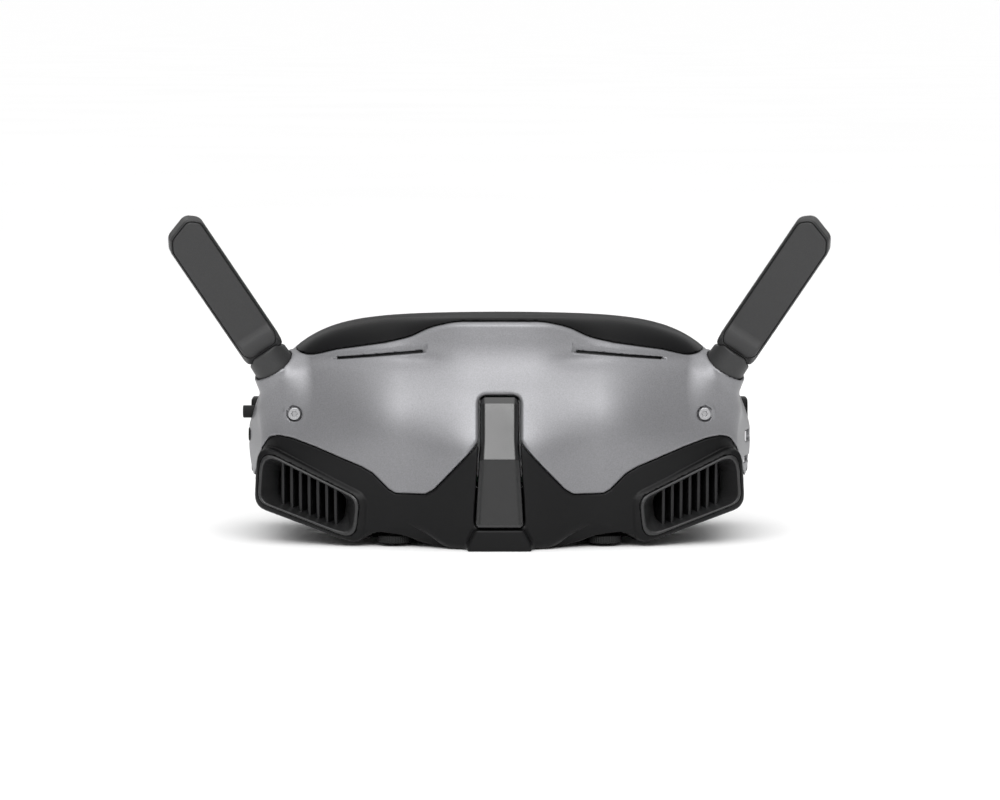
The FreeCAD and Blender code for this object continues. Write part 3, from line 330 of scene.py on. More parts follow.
def circuit_board(name):
    material, tree, shader = new_material(name)
    bricks = add_node(tree, "TexBrick", {
        "Scale": 160, "Mortar Size": 0.03, "Color1": (0.012, 0.075, 0.035, 1), "Color2": (0.016, 0.11, 0.05, 1),
        "Mortar": (0.04, 0.2, 0.09, 1), "Vector": object_space(tree)})
    wire(tree, shader, {"Base Color": bricks.outputs["Color"], "Roughness": 0.35})
    add_bump(tree, shader, bricks.outputs["Fac"], 2e-5)
    return material


def knit_fabric(name, colour):
    """Soft knit over foam: crossed ribs of yarn with fuzz and sheen."""
    material, tree, shader = new_material(name)
    ribs = []
    for axis in ("X", "Z"):
        wave = add_node(tree, "TexWave", {"Scale": 260, "Distortion": 1.2, "Detail": 1.0,
                                          "Vector": object_space(tree)})
        wave.bands_direction = axis
        ribs.append(wave.outputs["Fac"])
    knit = math_node(tree, "MULTIPLY", *ribs)
    wire(tree, shader, {"Base Color": ramp(tree, knit, *shades(colour, 0.55, 1.3), 0, 1), "Roughness": 0.92,
                        "Sheen Weight": 0.35, "Sheen Roughness": 0.5})
    add_bump(tree, shader, knit, 1.8e-4)
    add_bump(tree, shader, noise(tree, 3500, 3.0, 0.7), 6e-5)
    return material


# The finish of each material slot in the record, and two finishes for pieces that differ from their slot's.
SLOT_MATERIALS = {
    "shell_grey": metallic_paint("grey_paint", (0.21, 0.21, 0.219), 0.41),
    "cowl_black": moulded_plastic("cowl_black", (0.005, 0.005, 0.0053), 0.38, depth=2.0e-5, specular=0.17),
    "housing_black": moulded_plastic("housing_black", (0.004, 0.004, 0.0043), 0.38, depth=1.6e-5,
                                     specular=0.12),
    "tongue_satin": moulded_plastic("tongue_black", (0.005, 0.005, 0.0053), 0.22, depth=1.2e-5, specular=0.7),
    "antenna_black": moulded_plastic("antenna_black", (0.022, 0.022, 0.0225), 0.48, grain=6500, depth=4.0e-5,
                                     spread=0.3, specular=0.45),
    "frame_black": moulded_plastic("frame_black", (0.010, 0.010, 0.0105), 0.55, specular=0.4),
    "key_rubber": moulded_plastic("key_rubber", (0.008, 0.008, 0.008), 0.66, grain=7000, depth=3e-5,
                                  specular=0.3),
    "foam": knit_fabric("foam_knit", (0.035, 0.035, 0.038)),
    "screw_steel": brushed_metal("screw_steel", (0.42, 0.42, 0.43), 0.34),
    "rod_steel": brushed_metal("rod_steel", (0.62, 0.62, 0.63), 0.18, (14, 1, 1)),
    "sink_aluminium": brushed_metal("sink_metal", (0.70, 0.70, 0.71), 0.38),
    "lens_glass": coated_glass("lens_glass", (0.05, 0.045, 0.085)),
    "display_glass": coated_glass("display_glass", (0.006, 0.006, 0.008), 0.06),
    "board_green": circuit_board("board_green"),
}
BEZEL_BLACK = moulded_plastic("bezel_black", (0.018, 0.018, 0.0185), 0.34, depth=1.6e-5, specular=0.5)
FIN_BLACK = moulded_plastic("fin_black", (0.007, 0.007, 0.0075), 0.33, specular=0.4)

# ---- body skin

HALF_WIDTH, FLARE_SLOPE, FLARE_END, PARTING = 80.0, 0.235, 2.0, 8.0
REAR_TAPER, SECTION_Z, WALL = 0.0015, 34.0, 2.0
FACE_DEPTH, PLAN_CURVE = 44.5, 0.0036
BULGE_HEIGHT, BULGE_X, BULGE_Z, BULGE_SPREAD = 3.0, 36.0, 40.0, 17.0
SPINE_TOP, SPINE_CHIN, SPINE_HALF, SPINE_SKIRT = 2.2, 5.0, 7.0, 31.0
LEAN_START, LEAN_END, LEAN_SOFT = 30.0, 60.0, 4.0
LEAN_LINEAR, LEAN_SQUARE, BROW_LEAN, CHIN_LEAN = 0.14, 0.0035, 0.10, 0.02
ROOF, ROOF_SLOPE, ROOF_SQUARE, ROOF_SIXTH = 71.6, 0.02, 6.5e-4, 1.08e-10
FLOOR_RISE, FLOOR_SPAN, FLOOR_POWER = 9.8, 71.0, 2.5
UPPER_TUCK, UPPER_TUCK_Z, LOWER_TUCK, LOWER_TUCK_Z = 0.02, 40.0, 0.012, 30.0
ROOF_ROUND, SPINE_ROUND, FLOOR_ROUND, CORNER_ROUND = 9.0, 3.0, 3.5, 5.0
SEAM_GAP = 0.09


def soft_positive(value, soft=6.0):
    """Positive part of value with its corner rounded off."""
    bend = (np.clip(value, -soft, soft) + soft) ** 2 / (4 * soft)
    return bend + np.maximum(value - soft, 0.0)


def front_depth(x, z):
    """How far the front face stands in front of the XZ plane."""
    x = np.abs(x)
    over = z - LEAN_END
    below = np.where(over < -LEAN_SOFT, over, -(LEAN_SOFT - over) ** 2 / (4 * LEAN_SOFT))
    below = np.where(over > LEAN_SOFT, 0.0, below)
    rise = soft_positive(LEAN_END - LEAN_START + below)
    fall = soft_positive(LEAN_START - z)
    lean = LEAN_LINEAR * rise + LEAN_SQUARE * rise ** 2 + BROW_LEAN * (over - below) + CHIN_LEAN * fall
    spine = SPINE_TOP + (SPINE_CHIN - SPINE_TOP) * (1 - blend(28.0, 50.0, z))
    spine = spine * (1 - blend(SPINE_HALF, SPINE_SKIRT, x))
    bulge = BULGE_HEIGHT * np.exp(-((x - BULGE_X) / BULGE_SPREAD) ** 2 - ((z - BULGE_Z) / BULGE_SPREAD) ** 2)
    return FACE_DEPTH - PLAN_CURVE * x * x - lean + spine + bulge


def skin(x, y, z):
    """The moulded body. Behind the parting its section narrows slowly towards the head."""
    shrink = 1 - REAR_TAPER * np.maximum(0.0, y - PARTING)
    x = np.abs(x) / shrink
    z = SECTION_Z + (z - SECTION_Z) / shrink
    y = np.minimum(y, PARTING)
    front = -(y + front_depth(x, z)) * 0.96
    side = x - (HALF_WIDTH - FLARE_SLOPE * np.maximum(0.0, FLARE_END - y)
                - LOWER_TUCK * np.maximum(0.0, LOWER_TUCK_Z - z) ** 2
                - UPPER_TUCK * np.maximum(0.0, z - UPPER_TUCK_Z) ** 2)
    roof = z - (ROOF - ROOF_SQUARE * x ** 2 - ROOF_SIXTH * x ** 6 - ROOF_SLOPE * (y + 34.0))
    floor = FLOOR_RISE * (x / FLOOR_SPAN) ** FLOOR_POWER - z
    field = both(front, roof, SPINE_ROUND + (ROOF_ROUND - SPINE_ROUND) * blend(14.0, 34.0, x))
    field = both(field, floor, FLOOR_ROUND)
    return both(field, side * 0.93, CORNER_ROUND)


# Outlines in the front view, for one half. They overrun the middle plane, the sides and the top.
MIDDLE, BEYOND, OVERHEAD, UNDERNEATH, SEAM_ROUND = -12.0, 90.0, 90.0, -5.0, 2.6
ROOF_END = (BEYOND, 66.0)
ROOF_SEAM = rounded([(MIDDLE, 70.6), (13.8, 70.4), (21.7, 68.6), (27.9, 65.4), (35.7, 63.6), (50.9, 61.2),
                     (60, 58.9), (66, 60.6), (82, 66)], 24.0)[1:-1]
COWL_SEAM = [(BEYOND, 12), (78.5, 17), (77, 22), (74.5, 29.8), (72.3, 33.2), (69.3, 33.9),
             (64.9, 33.2), (57.6, 30.8), (43.1, 25.2), (39.5, 23.2), (34.5, 18.2), (32.3, 17), (23, 17),
             (20.2, 18.7), (7.7, 32), (6.4, 34)]
FRONT_OUTLINE = rounded(ROOF_SEAM + [ROOF_END] + COWL_SEAM + [(6.4, 47.7), (MIDDLE, 47.7)], SEAM_ROUND)
ROOF_OUTLINE = rounded([(MIDDLE, OVERHEAD), (BEYOND, OVERHEAD), ROOF_END] + ROOF_SEAM[::-1], SEAM_ROUND)
COWL_OUTLINE = rounded([(MIDDLE, UNDERNEATH), (BEYOND, UNDERNEATH)] + COWL_SEAM
                       + [(7.9, 7.0), (MIDDLE, 7.0)], SEAM_ROUND)
NOSE_ARCH = rounded([(MIDDLE, 25), (0, 25), (6, 24.2), (12, 19.5), (17, 9), (20, 0),
                     (22, -8), (MIDDLE, -8)], 5.0)
NOSE_FRONT, BRIDGE_WALL = 6.0, 1.6
STEP_HALF, STEP_FRONT, STEP_FLOOR = 70.0, -31.5, 64.5


def hollow(field, outer):
    """What a shell keeps when the space inside the wall is taken out."""
    return without(field, outer + WALL, 0.3)


def roof_step(side, y, z):
    """The part of the roof that the rear housing covers right up to the brow."""
    return box_field(side, y, z, (-STEP_HALF, STEP_FRONT, STEP_FLOOR), (STEP_HALF, 40.0, 99.0))


def nose_arch(side, z):
    return outline_distance(NOSE_ARCH, side, z)


# ---- air intakes

VENT_X, VENT_Y, VENT_YAW = 60.5, -34.0, math.radians(18.0)
NACELLE = rounded([(-17, 32.2), (20, 16.2), (18.4, 0), (-18, 11.6)], 5.0)
BEZEL = rounded([(-15.4, 30), (17.6, 15.4), (16.2, 2), (-16.4, 13.2)], 4.5)
MOUTH = rounded([(-14.4, 28.6), (16.6, 14.9), (15.3, 3.4), (-15.4, 13.6)], 4.0)
THROAT = rounded([(-12, 26.2), (10.2, 15.5), (9.4, 5.6), (-12.8, 14)], 4.0)
VENT_DEPTH, THROAT_DEPTH, NACELLE_DEPTH, LIP_SLOPE = 11.0, 9.0, 11.0, 0.5
FIN_COUNT, FIN_HALF, FIN_FIRST, FIN_LAST, FIN_DEPTH = 7, 0.6, -9.7, 7.9, 6.0


def vent_place(side):
    """Origin and axes of an intake: across towards the middle, depth into the body, and up."""
    across = (-side * math.cos(VENT_YAW), -math.sin(VENT_YAW), 0.0)
    inward = (-side * math.sin(VENT_YAW), math.cos(VENT_YAW), 0.0)
    return (side * VENT_X, VENT_Y, 0.0), (across, inward, (0.0, 0.0, 1.0))


def vent_coordinates(x, y):
    """(across, depth) of a point in the nearer intake's frame."""
    dx, dy = np.abs(x) - VENT_X, y - VENT_Y
    across = -dx * math.cos(VENT_YAW) - dy * math.sin(VENT_YAW)
    depth = -dx * math.sin(VENT_YAW) + dy * math.cos(VENT_YAW)
    return across, depth


def funnel(across, depth, z):
    """The open mouth, narrowing from the rim to the throat."""
    part = np.clip(depth / THROAT_DEPTH, 0.0, 1.0)
    return (1 - part) * outline_distance(MOUTH, across, z) + part * outline_distance(THROAT, across, z)


def intake_lip(across, depth, z):
    """Sloping face round the mouth, shared by the bezel and its housing."""
    return (LIP_SLOPE * np.maximum(outline_distance(MOUTH, across, z) - 0.4, 0.0) - depth) * 0.89


def bezel_field(across, depth, z):
    tube = both(outline_distance(BEZEL, across, z) + 0.06, intake_lip(across, depth, z), 0.15)
    tube = both(tube, depth - VENT_DEPTH, 0.4)
    return without(tube, funnel(across, depth, z), 0.45)


def grille_field(across, depth, z):
    """A thin frame behind the throat and a row of upright fins with rounded front edges."""
    plate = both(outline_distance(BEZEL, across, z) + 0.2, np.abs(depth - VENT_DEPTH - 0.7) - 0.7, 0.3)
    throat = outline_distance(THROAT, across, z)
    plate = without(plate, throat, 0.3)
    pitch = (FIN_LAST - FIN_FIRST) / (FIN_COUNT - 1)
    number = np.clip(np.round((across - FIN_FIRST) / pitch), 0, FIN_COUNT - 1)
    fin = np.abs(across - FIN_FIRST - number * pitch) - FIN_HALF
    fin = both(fin, VENT_DEPTH - FIN_DEPTH - depth, 0.42)
    fin = both(fin, depth - VENT_DEPTH - 1.2, 0.2)
    fin = both(fin, funnel(across, depth, z) - 0.3, 0.2)
    return either(plate, fin, 0.3)


# ---- antennas

ANTENNA_LEAN, ANTENNA_SPLAY = math.radians(15.73), math.radians(32.76)
PADDLE_HALF, PADDLE_HALF_DEPTH, COVER_FOOT, COVER_INSET, COVER_DEPTH = 6.8, 3.7, -3.4, 0.75, 1.25
KNUCKLE, HINGE_GAP, TANG_HALF, BOSS_TOP = 5.2, 0.35, 2.0, -10.0
COLLAR_RADIUS, COLLAR_BASE, COLLAR_RIM = 6.65, 11.5, 3.0
PADDLE = rounded([(-PADDLE_HALF, -5.3), (-PADDLE_HALF, 43.4), (-3.2, 46.6), (4.6, 44.0), (PADDLE_HALF, 40.2),
                  (PADDLE_HALF, -5.3)], 3.4)


def antenna_place(side, prefix):
    """Origin and axes of an antenna: outward, rearward and along the paddle."""
    joint = JOINTS[prefix + "_antenna_fold"]
    axis = Vector(joint["axis"]).normalized()
    outward = -axis * side
    along = Vector((side * math.cos(ANTENNA_LEAN) * math.sin(ANTENNA_SPLAY), -math.sin(ANTENNA_LEAN),
                    math.cos(ANTENNA_LEAN) * math.cos(ANTENNA_SPLAY)))
    rearward = along.cross(outward) * side
    origin = tuple(c / MM for c in joint["pos_m"])
    return origin, (tuple(outward), tuple(rearward), tuple(along))


def antenna_coordinates(x, y, z):
    """(outward, rearward, along) of a point in the left antenna's frame, for either side by symmetry."""
    origin, axes = LEFT_ANTENNA
    dx, dy, dz = np.abs(x) - origin[0], y - origin[1], z - origin[2]
    return tuple(dx * a[0] + dy * a[1] + dz * a[2] for a in axes)


LEFT_ANTENNA = antenna_place(1, "left")


def paddle_field(out, back, along):
    """Rounded paddle whose foot stays inside the knuckle's turning circle."""
    outline = outline_distance(PADDLE, out, along)
    radius = np.sqrt(back ** 2 + along ** 2) - KNUCKLE
    slab = both(outline, np.abs(back) - PADDLE_HALF_DEPTH, 1.4)
    slab = both(slab, either(-along, radius, 0.8), 0.5)
    barrel = both(radius, np.abs(out) - (PADDLE_HALF - 0.8), 0.8)
    return either(slab, barrel, 0.8)


def cover_outline(out, along):
    """Outline of the front cover: the paddle's, set in, and ending in a U over the knuckle."""
    return both(outline_distance(PADDLE, out, along) + COVER_INSET, COVER_FOOT - along, 4.5)


def antenna_shell_field(out, back, along):
    body = paddle_field(out, back, along)
    half = TANG_HALF + HINGE_GAP
    slot = box_field(out, back, along, (-half, -2.6, -8), (half, 18, 8), 0.3)
    seat = both(cover_outline(out, along) - 0.12, back + PADDLE_HALF_DEPTH - COVER_DEPTH - 0.05, 0.1)
    return without(without(body, slot, 0.35), seat, 0.25)


def antenna_cover_field(out, back, along):
    cover = both(paddle_field(out, back, along), cover_outline(out, along) + 0.02, 0.3)
    return both(cover, back + PADDLE_HALF_DEPTH - COVER_DEPTH, 0.1)


def collar_field(out, back, along):
    """Round stub, cupped for the knuckle, with a central tang and a low rear for folding."""
    radial = np.sqrt(out ** 2 + back ** 2)
    cone = radial - (COLLAR_RADIUS - 0.35 * (along + COLLAR_BASE) / (COLLAR_BASE - COLLAR_RIM))
    stub = both(cone, np.abs(along + (COLLAR_BASE + COLLAR_RIM) / 2) - (COLLAR_BASE - COLLAR_RIM) / 2, 0.5)
    cup = np.sqrt(back ** 2 + along ** 2) - (KNUCKLE + HINGE_GAP)
    stub = without(stub, cup, 0.4)
    rear = both(-back - 0.5, -along - 6.0, 1.0)
    stub = without(stub, rear, 0.5)
    half = KNUCKLE / 2 - 0.1
    tang = both(np.sqrt(back ** 2 + along ** 2) - half, np.abs(out) - TANG_HALF, 0.4)
    web = box_field(out, back, along, (-TANG_HALF, -half, -COLLAR_BASE), (TANG_HALF, half, 0), 0.3)
    return either(either(stub, web, 0.3), tang, 0.2)


def boss_field(x, y, z):
    """Cone on the brow that the collar stands in."""
    out, back, along = antenna_coordinates(x, y, z)
    radial = np.sqrt(out ** 2 + back ** 2)
    cone = radial - (COLLAR_RADIUS + 0.75 - 0.22 * (along - BOSS_TOP))
    return both(cone, along - BOSS_TOP, 0.5)


def socket_field(x, y, z):
    out, back, along = antenna_coordinates(x, y, z)
    return both(np.sqrt(out ** 2 + back ** 2) - (COLLAR_RADIUS + 0.12), -along - COLLAR_BASE, 0.1)


# ---- shells

BEVEL, NOTCH_BEVEL, BOSS_FILLET = 0.35, 0.45, 5.0
SCREW_X, SCREW_Z, SCREW_RECESS, POST_RADIUS = 64.3, 40.9, 2.45, 3.4
STICK_Y, STICK_Z, STICK_HOLE, STICK_REACH = 2.0, 39.2, 3.1, 81.9
BUTTON_Y, BUTTON_Z, BUTTON_HOLE, BUTTON_FOOT = 2.0, 32.0, 2.3, 76.3
USB_Y, USB_Z, USB_HALF, USB_HALF_HEIGHT = -1.5, 32.0, 4.7, 1.7
CARD_Z, CARD_HALF, CARD_HALF_HEIGHT = 24.6, 6.2, 0.9
SLOT_ENDS = ((24.0, 61.9), (51.0, 59.0))
SLOT_TALL, SLOT_LOW, SLOT_SILL, SLOT_DEEP = 2.7, 0.7, -1.3, 1.6
SLOT_END, SLIT_ABOVE_SILL, SLIT_HALF = 1.2, 0.35, 0.4
VALLEY_DEPTH, VALLEY_Z, VALLEY_HALF = 0.35, 58.3, 2.2


def slot_coordinates(x, z):
    """(along, above) of a point from the inner end of the brow slot, and the slot's length."""
    (x0, z0), (x1, z1) = SLOT_ENDS
    length = math.hypot(x1 - x0, z1 - z0)
    ux, uz = (x1 - x0) / length, (z1 - z0) / length
    dx, dz = np.abs(x) - x0, z - z0
    return dx * ux + dz * uz, -dx * uz + dz * ux, length


def brow_slot(x, y, z, outer):
    """Exhaust slot under the brow, with a sloping recess above it that is taller at its inner end."""
    along, above, length = slot_coordinates(x, z)
    part = np.clip(along / length, 0, 1)
    sill = SLOT_SILL * (1 - 0.3 * part)
    height = SLOT_TALL - (SLOT_TALL - SLOT_LOW) * part
    depth = SLOT_DEEP * np.clip((along + SLOT_END) / 1.6, 0, 1)
    depth = depth * np.clip(1 - (above - sill) / height, 0, 1) * (0.4 + 0.6 * height / SLOT_TALL)
    recess = both(both(sill - above, above - sill - height, 0.3), -(outer + depth), 0.1)
    span = np.abs(along - length / 2) - length / 2
    slit = both(span, np.abs(above - sill - SLIT_ABOVE_SILL) - SLIT_HALF, 0.2)
    return np.minimum(both(recess, span - SLOT_END), both(slit, y + 20.0))


def front_shell_field(x, y, z):
    """Grey front shell: brow, eye bulges and cheeks, bevelled along its seams."""
    outer = skin(x, y, z)
    boss = boss_field(x, y, z)
    side = np.abs(x)
    valley = VALLEY_DEPTH * np.exp(-((z - VALLEY_Z) / VALLEY_HALF) ** 2)
    valley = valley * blend(13.0, 24.0, side) * (1 - blend(56.0, 68.0, side))
    flared = either(outer + valley, boss, BOSS_FILLET)
    seam = outline_distance(FRONT_OUTLINE, side, z) + SEAM_GAP
    region = without(both(seam, y - PARTING + SEAM_GAP), roof_step(side, y, z), 0.2)
    region = either(region, boss - 1.2, 0.8)
    notch = (1 - blend(9.0, 11.0, side)) * blend(28.0, 33.0, z) * (1 - blend(52.0, 56.0, z))
    field = chamfered(flared, region, BEVEL + NOTCH_BEVEL * notch, 0.3)
    field = hollow(field, outer)
    across, depth = vent_coordinates(x, y)
    nacelle = both(outline_distance(NACELLE, across, z) - SEAM_GAP, np.abs(depth - 3) - 10)
    field = without(field, nacelle, 0.5)
    field = without(field, brow_slot(x, y, z, outer), 0.3)
    screw = np.sqrt((side - SCREW_X) ** 2 + (z - SCREW_Z) ** 2)
    face = y + front_depth(SCREW_X, SCREW_Z)
    post = both(screw - POST_RADIUS, np.abs(face - 4.0) - 3.5, 0.3)
    field = either(field, both(post, -face + 0.9), 0.5)
    field = without(field, both(screw - SCREW_RECESS, face - 0.8, 0.15), 0.35)
    field = without(field, socket_field(x, y, z), 0.3)
    stick = np.hypot(y - STICK_Y, z - STICK_Z) - STICK_HOLE
    button = np.hypot(y - BUTTON_Y, z - BUTTON_Z) - BUTTON_HOLE
    field = without(field, both(np.minimum(stick, button), x + 70.0), 0.35)
    usb = both(np.abs(y - USB_Y) - USB_HALF, np.abs(z - USB_Z) - USB_HALF_HEIGHT, 1.5)
    card = both(np.abs(y) - CARD_HALF, np.abs(z - CARD_Z) - CARD_HALF_HEIGHT, 0.4)
    return without(field, both(np.minimum(usb, card), 70.0 - x), 0.3)


KNOB_X, KNOB_Y, KNOB_RADIUS, EYE_TRAVEL = 33.0, -33.0, 5.0, 3.0
SCOOP_X, SCOOP_RADIUS, SCOOP_FRONT, SCOOP_BACK = 34.5, 28.0, -41.0, -27.0
SCOOP_TOP, SCOOP_LIP, SCOOP_FALL = 7.8, 1.8, 0.3
TONGUE_HALF, TONGUE_CHIN, TONGUE_SHOULDER, TONGUE_FOOT = 6.1, 7.6, 34.0, 7.0
CHIN_HALF, CHIN_TOP, CHIN_FALL = 10.0, 6.6, 4.6


def track(side, other):
    """Distance from the line that an eye unit's centre slides along."""
    return np.hypot(np.maximum(np.abs(side - KNOB_X) - EYE_TRAVEL, 0.0), other)


def scoop_field(side, y, z):
    """Sloping hollow under a cheek, where a thumb reaches the eye knob."""
    into = y - SCOOP_FRONT
    ceiling = SCOOP_TOP - SCOOP_LIP * np.clip(into, 0, 2) - SCOOP_FALL * np.maximum(into - 2, 0)
    height = (z - ceiling) * 0.8 + SCOOP_RADIUS
    return both(np.hypot(side - SCOOP_X, height) - SCOOP_RADIUS, y - SCOOP_BACK, 2.0)


def cowl_field(x, y, z):
    """Black lower cowl with the intake housings, thumb scoops and chin."""
    side = np.abs(x)
    outer = without(skin(x, y, z), scoop_field(side, y, z), 1.6)
    across, depth = vent_coordinates(x, y)
    seam = outline_distance(COWL_OUTLINE, side, z) + SEAM_GAP
    region = both(seam, y - PARTING + SEAM_GAP)
    field = both(outer, region, 0.45)
    field = hollow(field, outer)
    prism = outline_distance(NACELLE, across, z)
    lip = intake_lip(across, depth, z)
    opening = both(outline_distance(BEZEL, across, z), np.abs(depth - 6.0) - 9.0)
    field = without(field, both(prism, depth - NACELLE_DEPTH))
    nacelle = both(both(prism, lip, 0.9), depth - NACELLE_DEPTH, 0.4)
    field = either(field, nacelle, 0.6)
    field = without(field, opening, 0.3)
    flare = side - (TONGUE_CHIN + (CHIN_HALF - TONGUE_CHIN) * np.clip((CHIN_TOP - z) / CHIN_FALL, 0, 1))
    chin = both(both(flare, np.abs(y + 47.0) - 5.0, 1.2), z - CHIN_TOP, 0.5)
    field = either(field, without(chin, outer + WALL), 1.5)
    window = track(side, y - KNOB_Y) - KNOB_RADIUS - 0.5
    field = without(field, both(window, z - 7.0), 0.4)
    field = without(field, both(nose_arch(side, z), NOSE_FRONT - y), 0.6)
    return both(field, -z, 0.3)


FACE_RADIUS, FACE_CENTRE, FOAM_THICKNESS, FRAME_THICKNESS = 115.0, 25.4, 12.0, 3.0


def face_y(x, centre):
    """Depth of the head's curve at x, for a curve that touches centre."""
    return centre + FACE_RADIUS - np.sqrt(np.maximum(FACE_RADIUS ** 2 - x * x, 1.0))


def rear_housing_field(x, y, z):
    """Black rear housing: roof strip, side walls and the bridge over the nose, cut to the head's curve."""
    outer = skin(x, y, z)
    side = np.abs(x)
    roof = both(outline_distance(ROOF_OUTLINE, side, z), y - PARTING - 1)
    region = np.minimum(np.minimum(roof, roof_step(side, y, z)), PARTING - y) + SEAM_GAP
    region = without(region, boss_field(x, y, z) - 1.3)
    field = both(outer, region, 0.45)
    field = hollow(field, outer)
    arch = nose_arch(side, z)
    bridge = both(both(arch - BRIDGE_WALL, NOSE_FRONT - BRIDGE_WALL - y), outer + WALL - 0.3)
    field = either(field, both(bridge, y - 24.0), 0.6)
    field = without(field, both(arch, NOSE_FRONT - y), 0.5)
    edge = FACE_CENTRE - FOAM_THICKNESS - FRAME_THICKNESS
    return both(field, y - face_y(x, edge) + 0.05, 0.4)


def near_skin(x, y, z):
    """Grid points close to the wall, an intake, a boss, a screw post, a scoop, the bridge or the chin."""
    outer = skin(x, y, z)
    across, depth = vent_coordinates(x, y)
    wall = (outer < 4.5) & (outer > -WALL - 2.5)
    vent = (np.abs(across) < 23) & (np.abs(depth - 5) < 10) & (z < 36)
    chin = (np.abs(x) < 13) & (y < -38) & (z < 10)
    bridge = (np.abs(x) < 26) & (y > 0) & (z < 30)
    out, back, along = antenna_coordinates(x, y, z)
    boss = (np.hypot(out, back) < 14) & (along > -22) & (along < -6)
    post = (np.hypot(np.abs(x) - SCREW_X, z - SCREW_Z) < 5) & (y < -10)
    scoop = (np.abs(x) > 5) & (np.abs(x) < 64) & (y < SCOOP_BACK + 4) & (z < 14)
    return wall | vent | chin | bridge | boss | post | scoop


def build_shells():
    for node, field, low, high, slot in (
            ("front_shell", front_shell_field, (-84, -50, 14), (84, 9, 76), "shell_grey"),
            ("lower_cowl", cowl_field, (-84, -54, -1), (84, 9, 40), "cowl_black"),
            ("rear_housing", rear_housing_field, (-82, -44, -1), (82, 48, 74), "housing_black")):
        add_piece(node + "_skin", field, low, high, SHELL_STEP, node, slot, near=near_skin)


TONGUE_FACE = [(43.2, 47.4), (45.1, 45.6), (50.6, 28.5), (51.4, 7)]
TONGUE_THICKNESS = 4.0


def tongue_field(x, y, z):
    """Rib down the middle, with chamfered edges, that widens towards the chin."""
    side = np.abs(x)
    profile = [(-depth, height) for depth, height in TONGUE_FACE]
    profile += [(a + TONGUE_THICKNESS, b) for a, b in profile[::-1]]
    body = outline_distance(rounded(profile, 1.0), y, z)
    down = np.clip((TONGUE_SHOULDER - z) / (TONGUE_SHOULDER - TONGUE_FOOT), 0, 1)
    half = TONGUE_HALF + (TONGUE_CHIN - TONGUE_HALF) * down
    return chamfered(body, side - half + 0.06, 1.3, 0.35)


def build_front():
    add_piece("center_tongue_rib", tongue_field, (-9, -53, 5), (9, -38, 49), DETAIL_STEP, "center_tongue",
              "tongue_satin")
    for side, prefix in SIDES:
        for part, field, step, material in (("bezel", bezel_field, DETAIL_STEP * 1.2, BEZEL_BLACK),
                                            ("grille", grille_field, DETAIL_STEP, FIN_BLACK)):
            add_piece("%s_intake_%s" % (prefix, part), field, (-20, -1, -1), (21, 14, 34), step,
                      "%s_vent_%s" % (prefix, part), "cowl_black", material=material, place=vent_place(side))


def build_antennas():
    for side, prefix in SIDES:
        for name, field, low, high, node, body in (
                ("_paddle_shell", antenna_shell_field, (-8, -7, -7), (8, 7, 48), "shell", prefix + "_antenna"),
                ("_paddle_cover", antenna_cover_field, (-8, -7, -7), (8, 7, 48), "cover", prefix + "_antenna"),
                ("_hinge_collar", collar_field, (-8, -8, -13), (8, 8, 4), "collar", "housing")):
            add_piece(prefix + name, field, low, high, DETAIL_STEP, "%s_antenna_%s" % (prefix, node),
                      "antenna_black", body, place=antenna_place(side, prefix))


# ---- screws, controls, knobs, lugs

STICK_HEIGHT, BUTTON_HEIGHT, KNURLS, LUG_Y, LUG_Z, LUG_FACE = 3.9, 3.85, 40, 26.0, 30.0, 80.2


def mirrored(side, origin=(0, 0, 0)):
    """Place of a piece whose field is written for the left side."""
    return origin, ((side, 0, 0), (0, 1, 0), (0, 0, 1))


def turned(along, radial, profile, radius):
    """Round piece from (start, end, radius) lengths along its axis, edges rounded."""
    field = None
    for start, end, size in profile:
        part = both(radial - size, np.abs(along - (start + end) / 2) - (end - start) / 2, radius)
        field = part if field is None else either(field, part, radius / 2)
    return field


def front_screws_field(x, y, z):
    """Pan-head screw with a six-lobed recess, on both sides."""
    u, v = np.abs(x) - SCREW_X, z - SCREW_Z
    depth = y + front_depth(SCREW_X, SCREW_Z) + 0.6
    radial = np.hypot(u, v)
    screw = turned(depth, radial, ((0.0, 1.4, 1.95), (0.4, 9.0, 1.1)), 0.25)
    lobes = radial - 0.82 - 0.14 * np.cos(6 * np.arctan2(v, u))
    return without(screw, both(lobes, depth - 0.9), 0.1)


def stick_cap_field(x, y, z):
    """Thumb cap that stands out sideways, with a groove in its face and a bore for its stem."""
    out = -x - (STICK_REACH - STICK_HEIGHT)
    radial = np.hypot(y - STICK_Y, z - STICK_Z)
    cap = turned(out, radial, ((0.0, STICK_HEIGHT, 2.0),), 0.35)
    groove = both(np.abs(radial - 1.25) - 0.16, STICK_HEIGHT - 0.25 - out)
    cap = without(cap, groove, 0.1)
    return without(cap, both(radial - 0.88, out - 2.9), 0.1)


def back_button_field(x, y, z):
    """Dished button with a flange that keeps it in the shell."""
    out = -x - BUTTON_FOOT
    radial = np.hypot(y - BUTTON_Y, z - BUTTON_Z)
    button = turned(out, radial, ((0.0, 0.7, 2.9), (0.2, BUTTON_HEIGHT, 2.1)), 0.3)
    dish = np.sqrt(radial ** 2 + (out - BUTTON_HEIGHT - 7.0) ** 2) - 7.2
    return without(button, dish, 0.2)


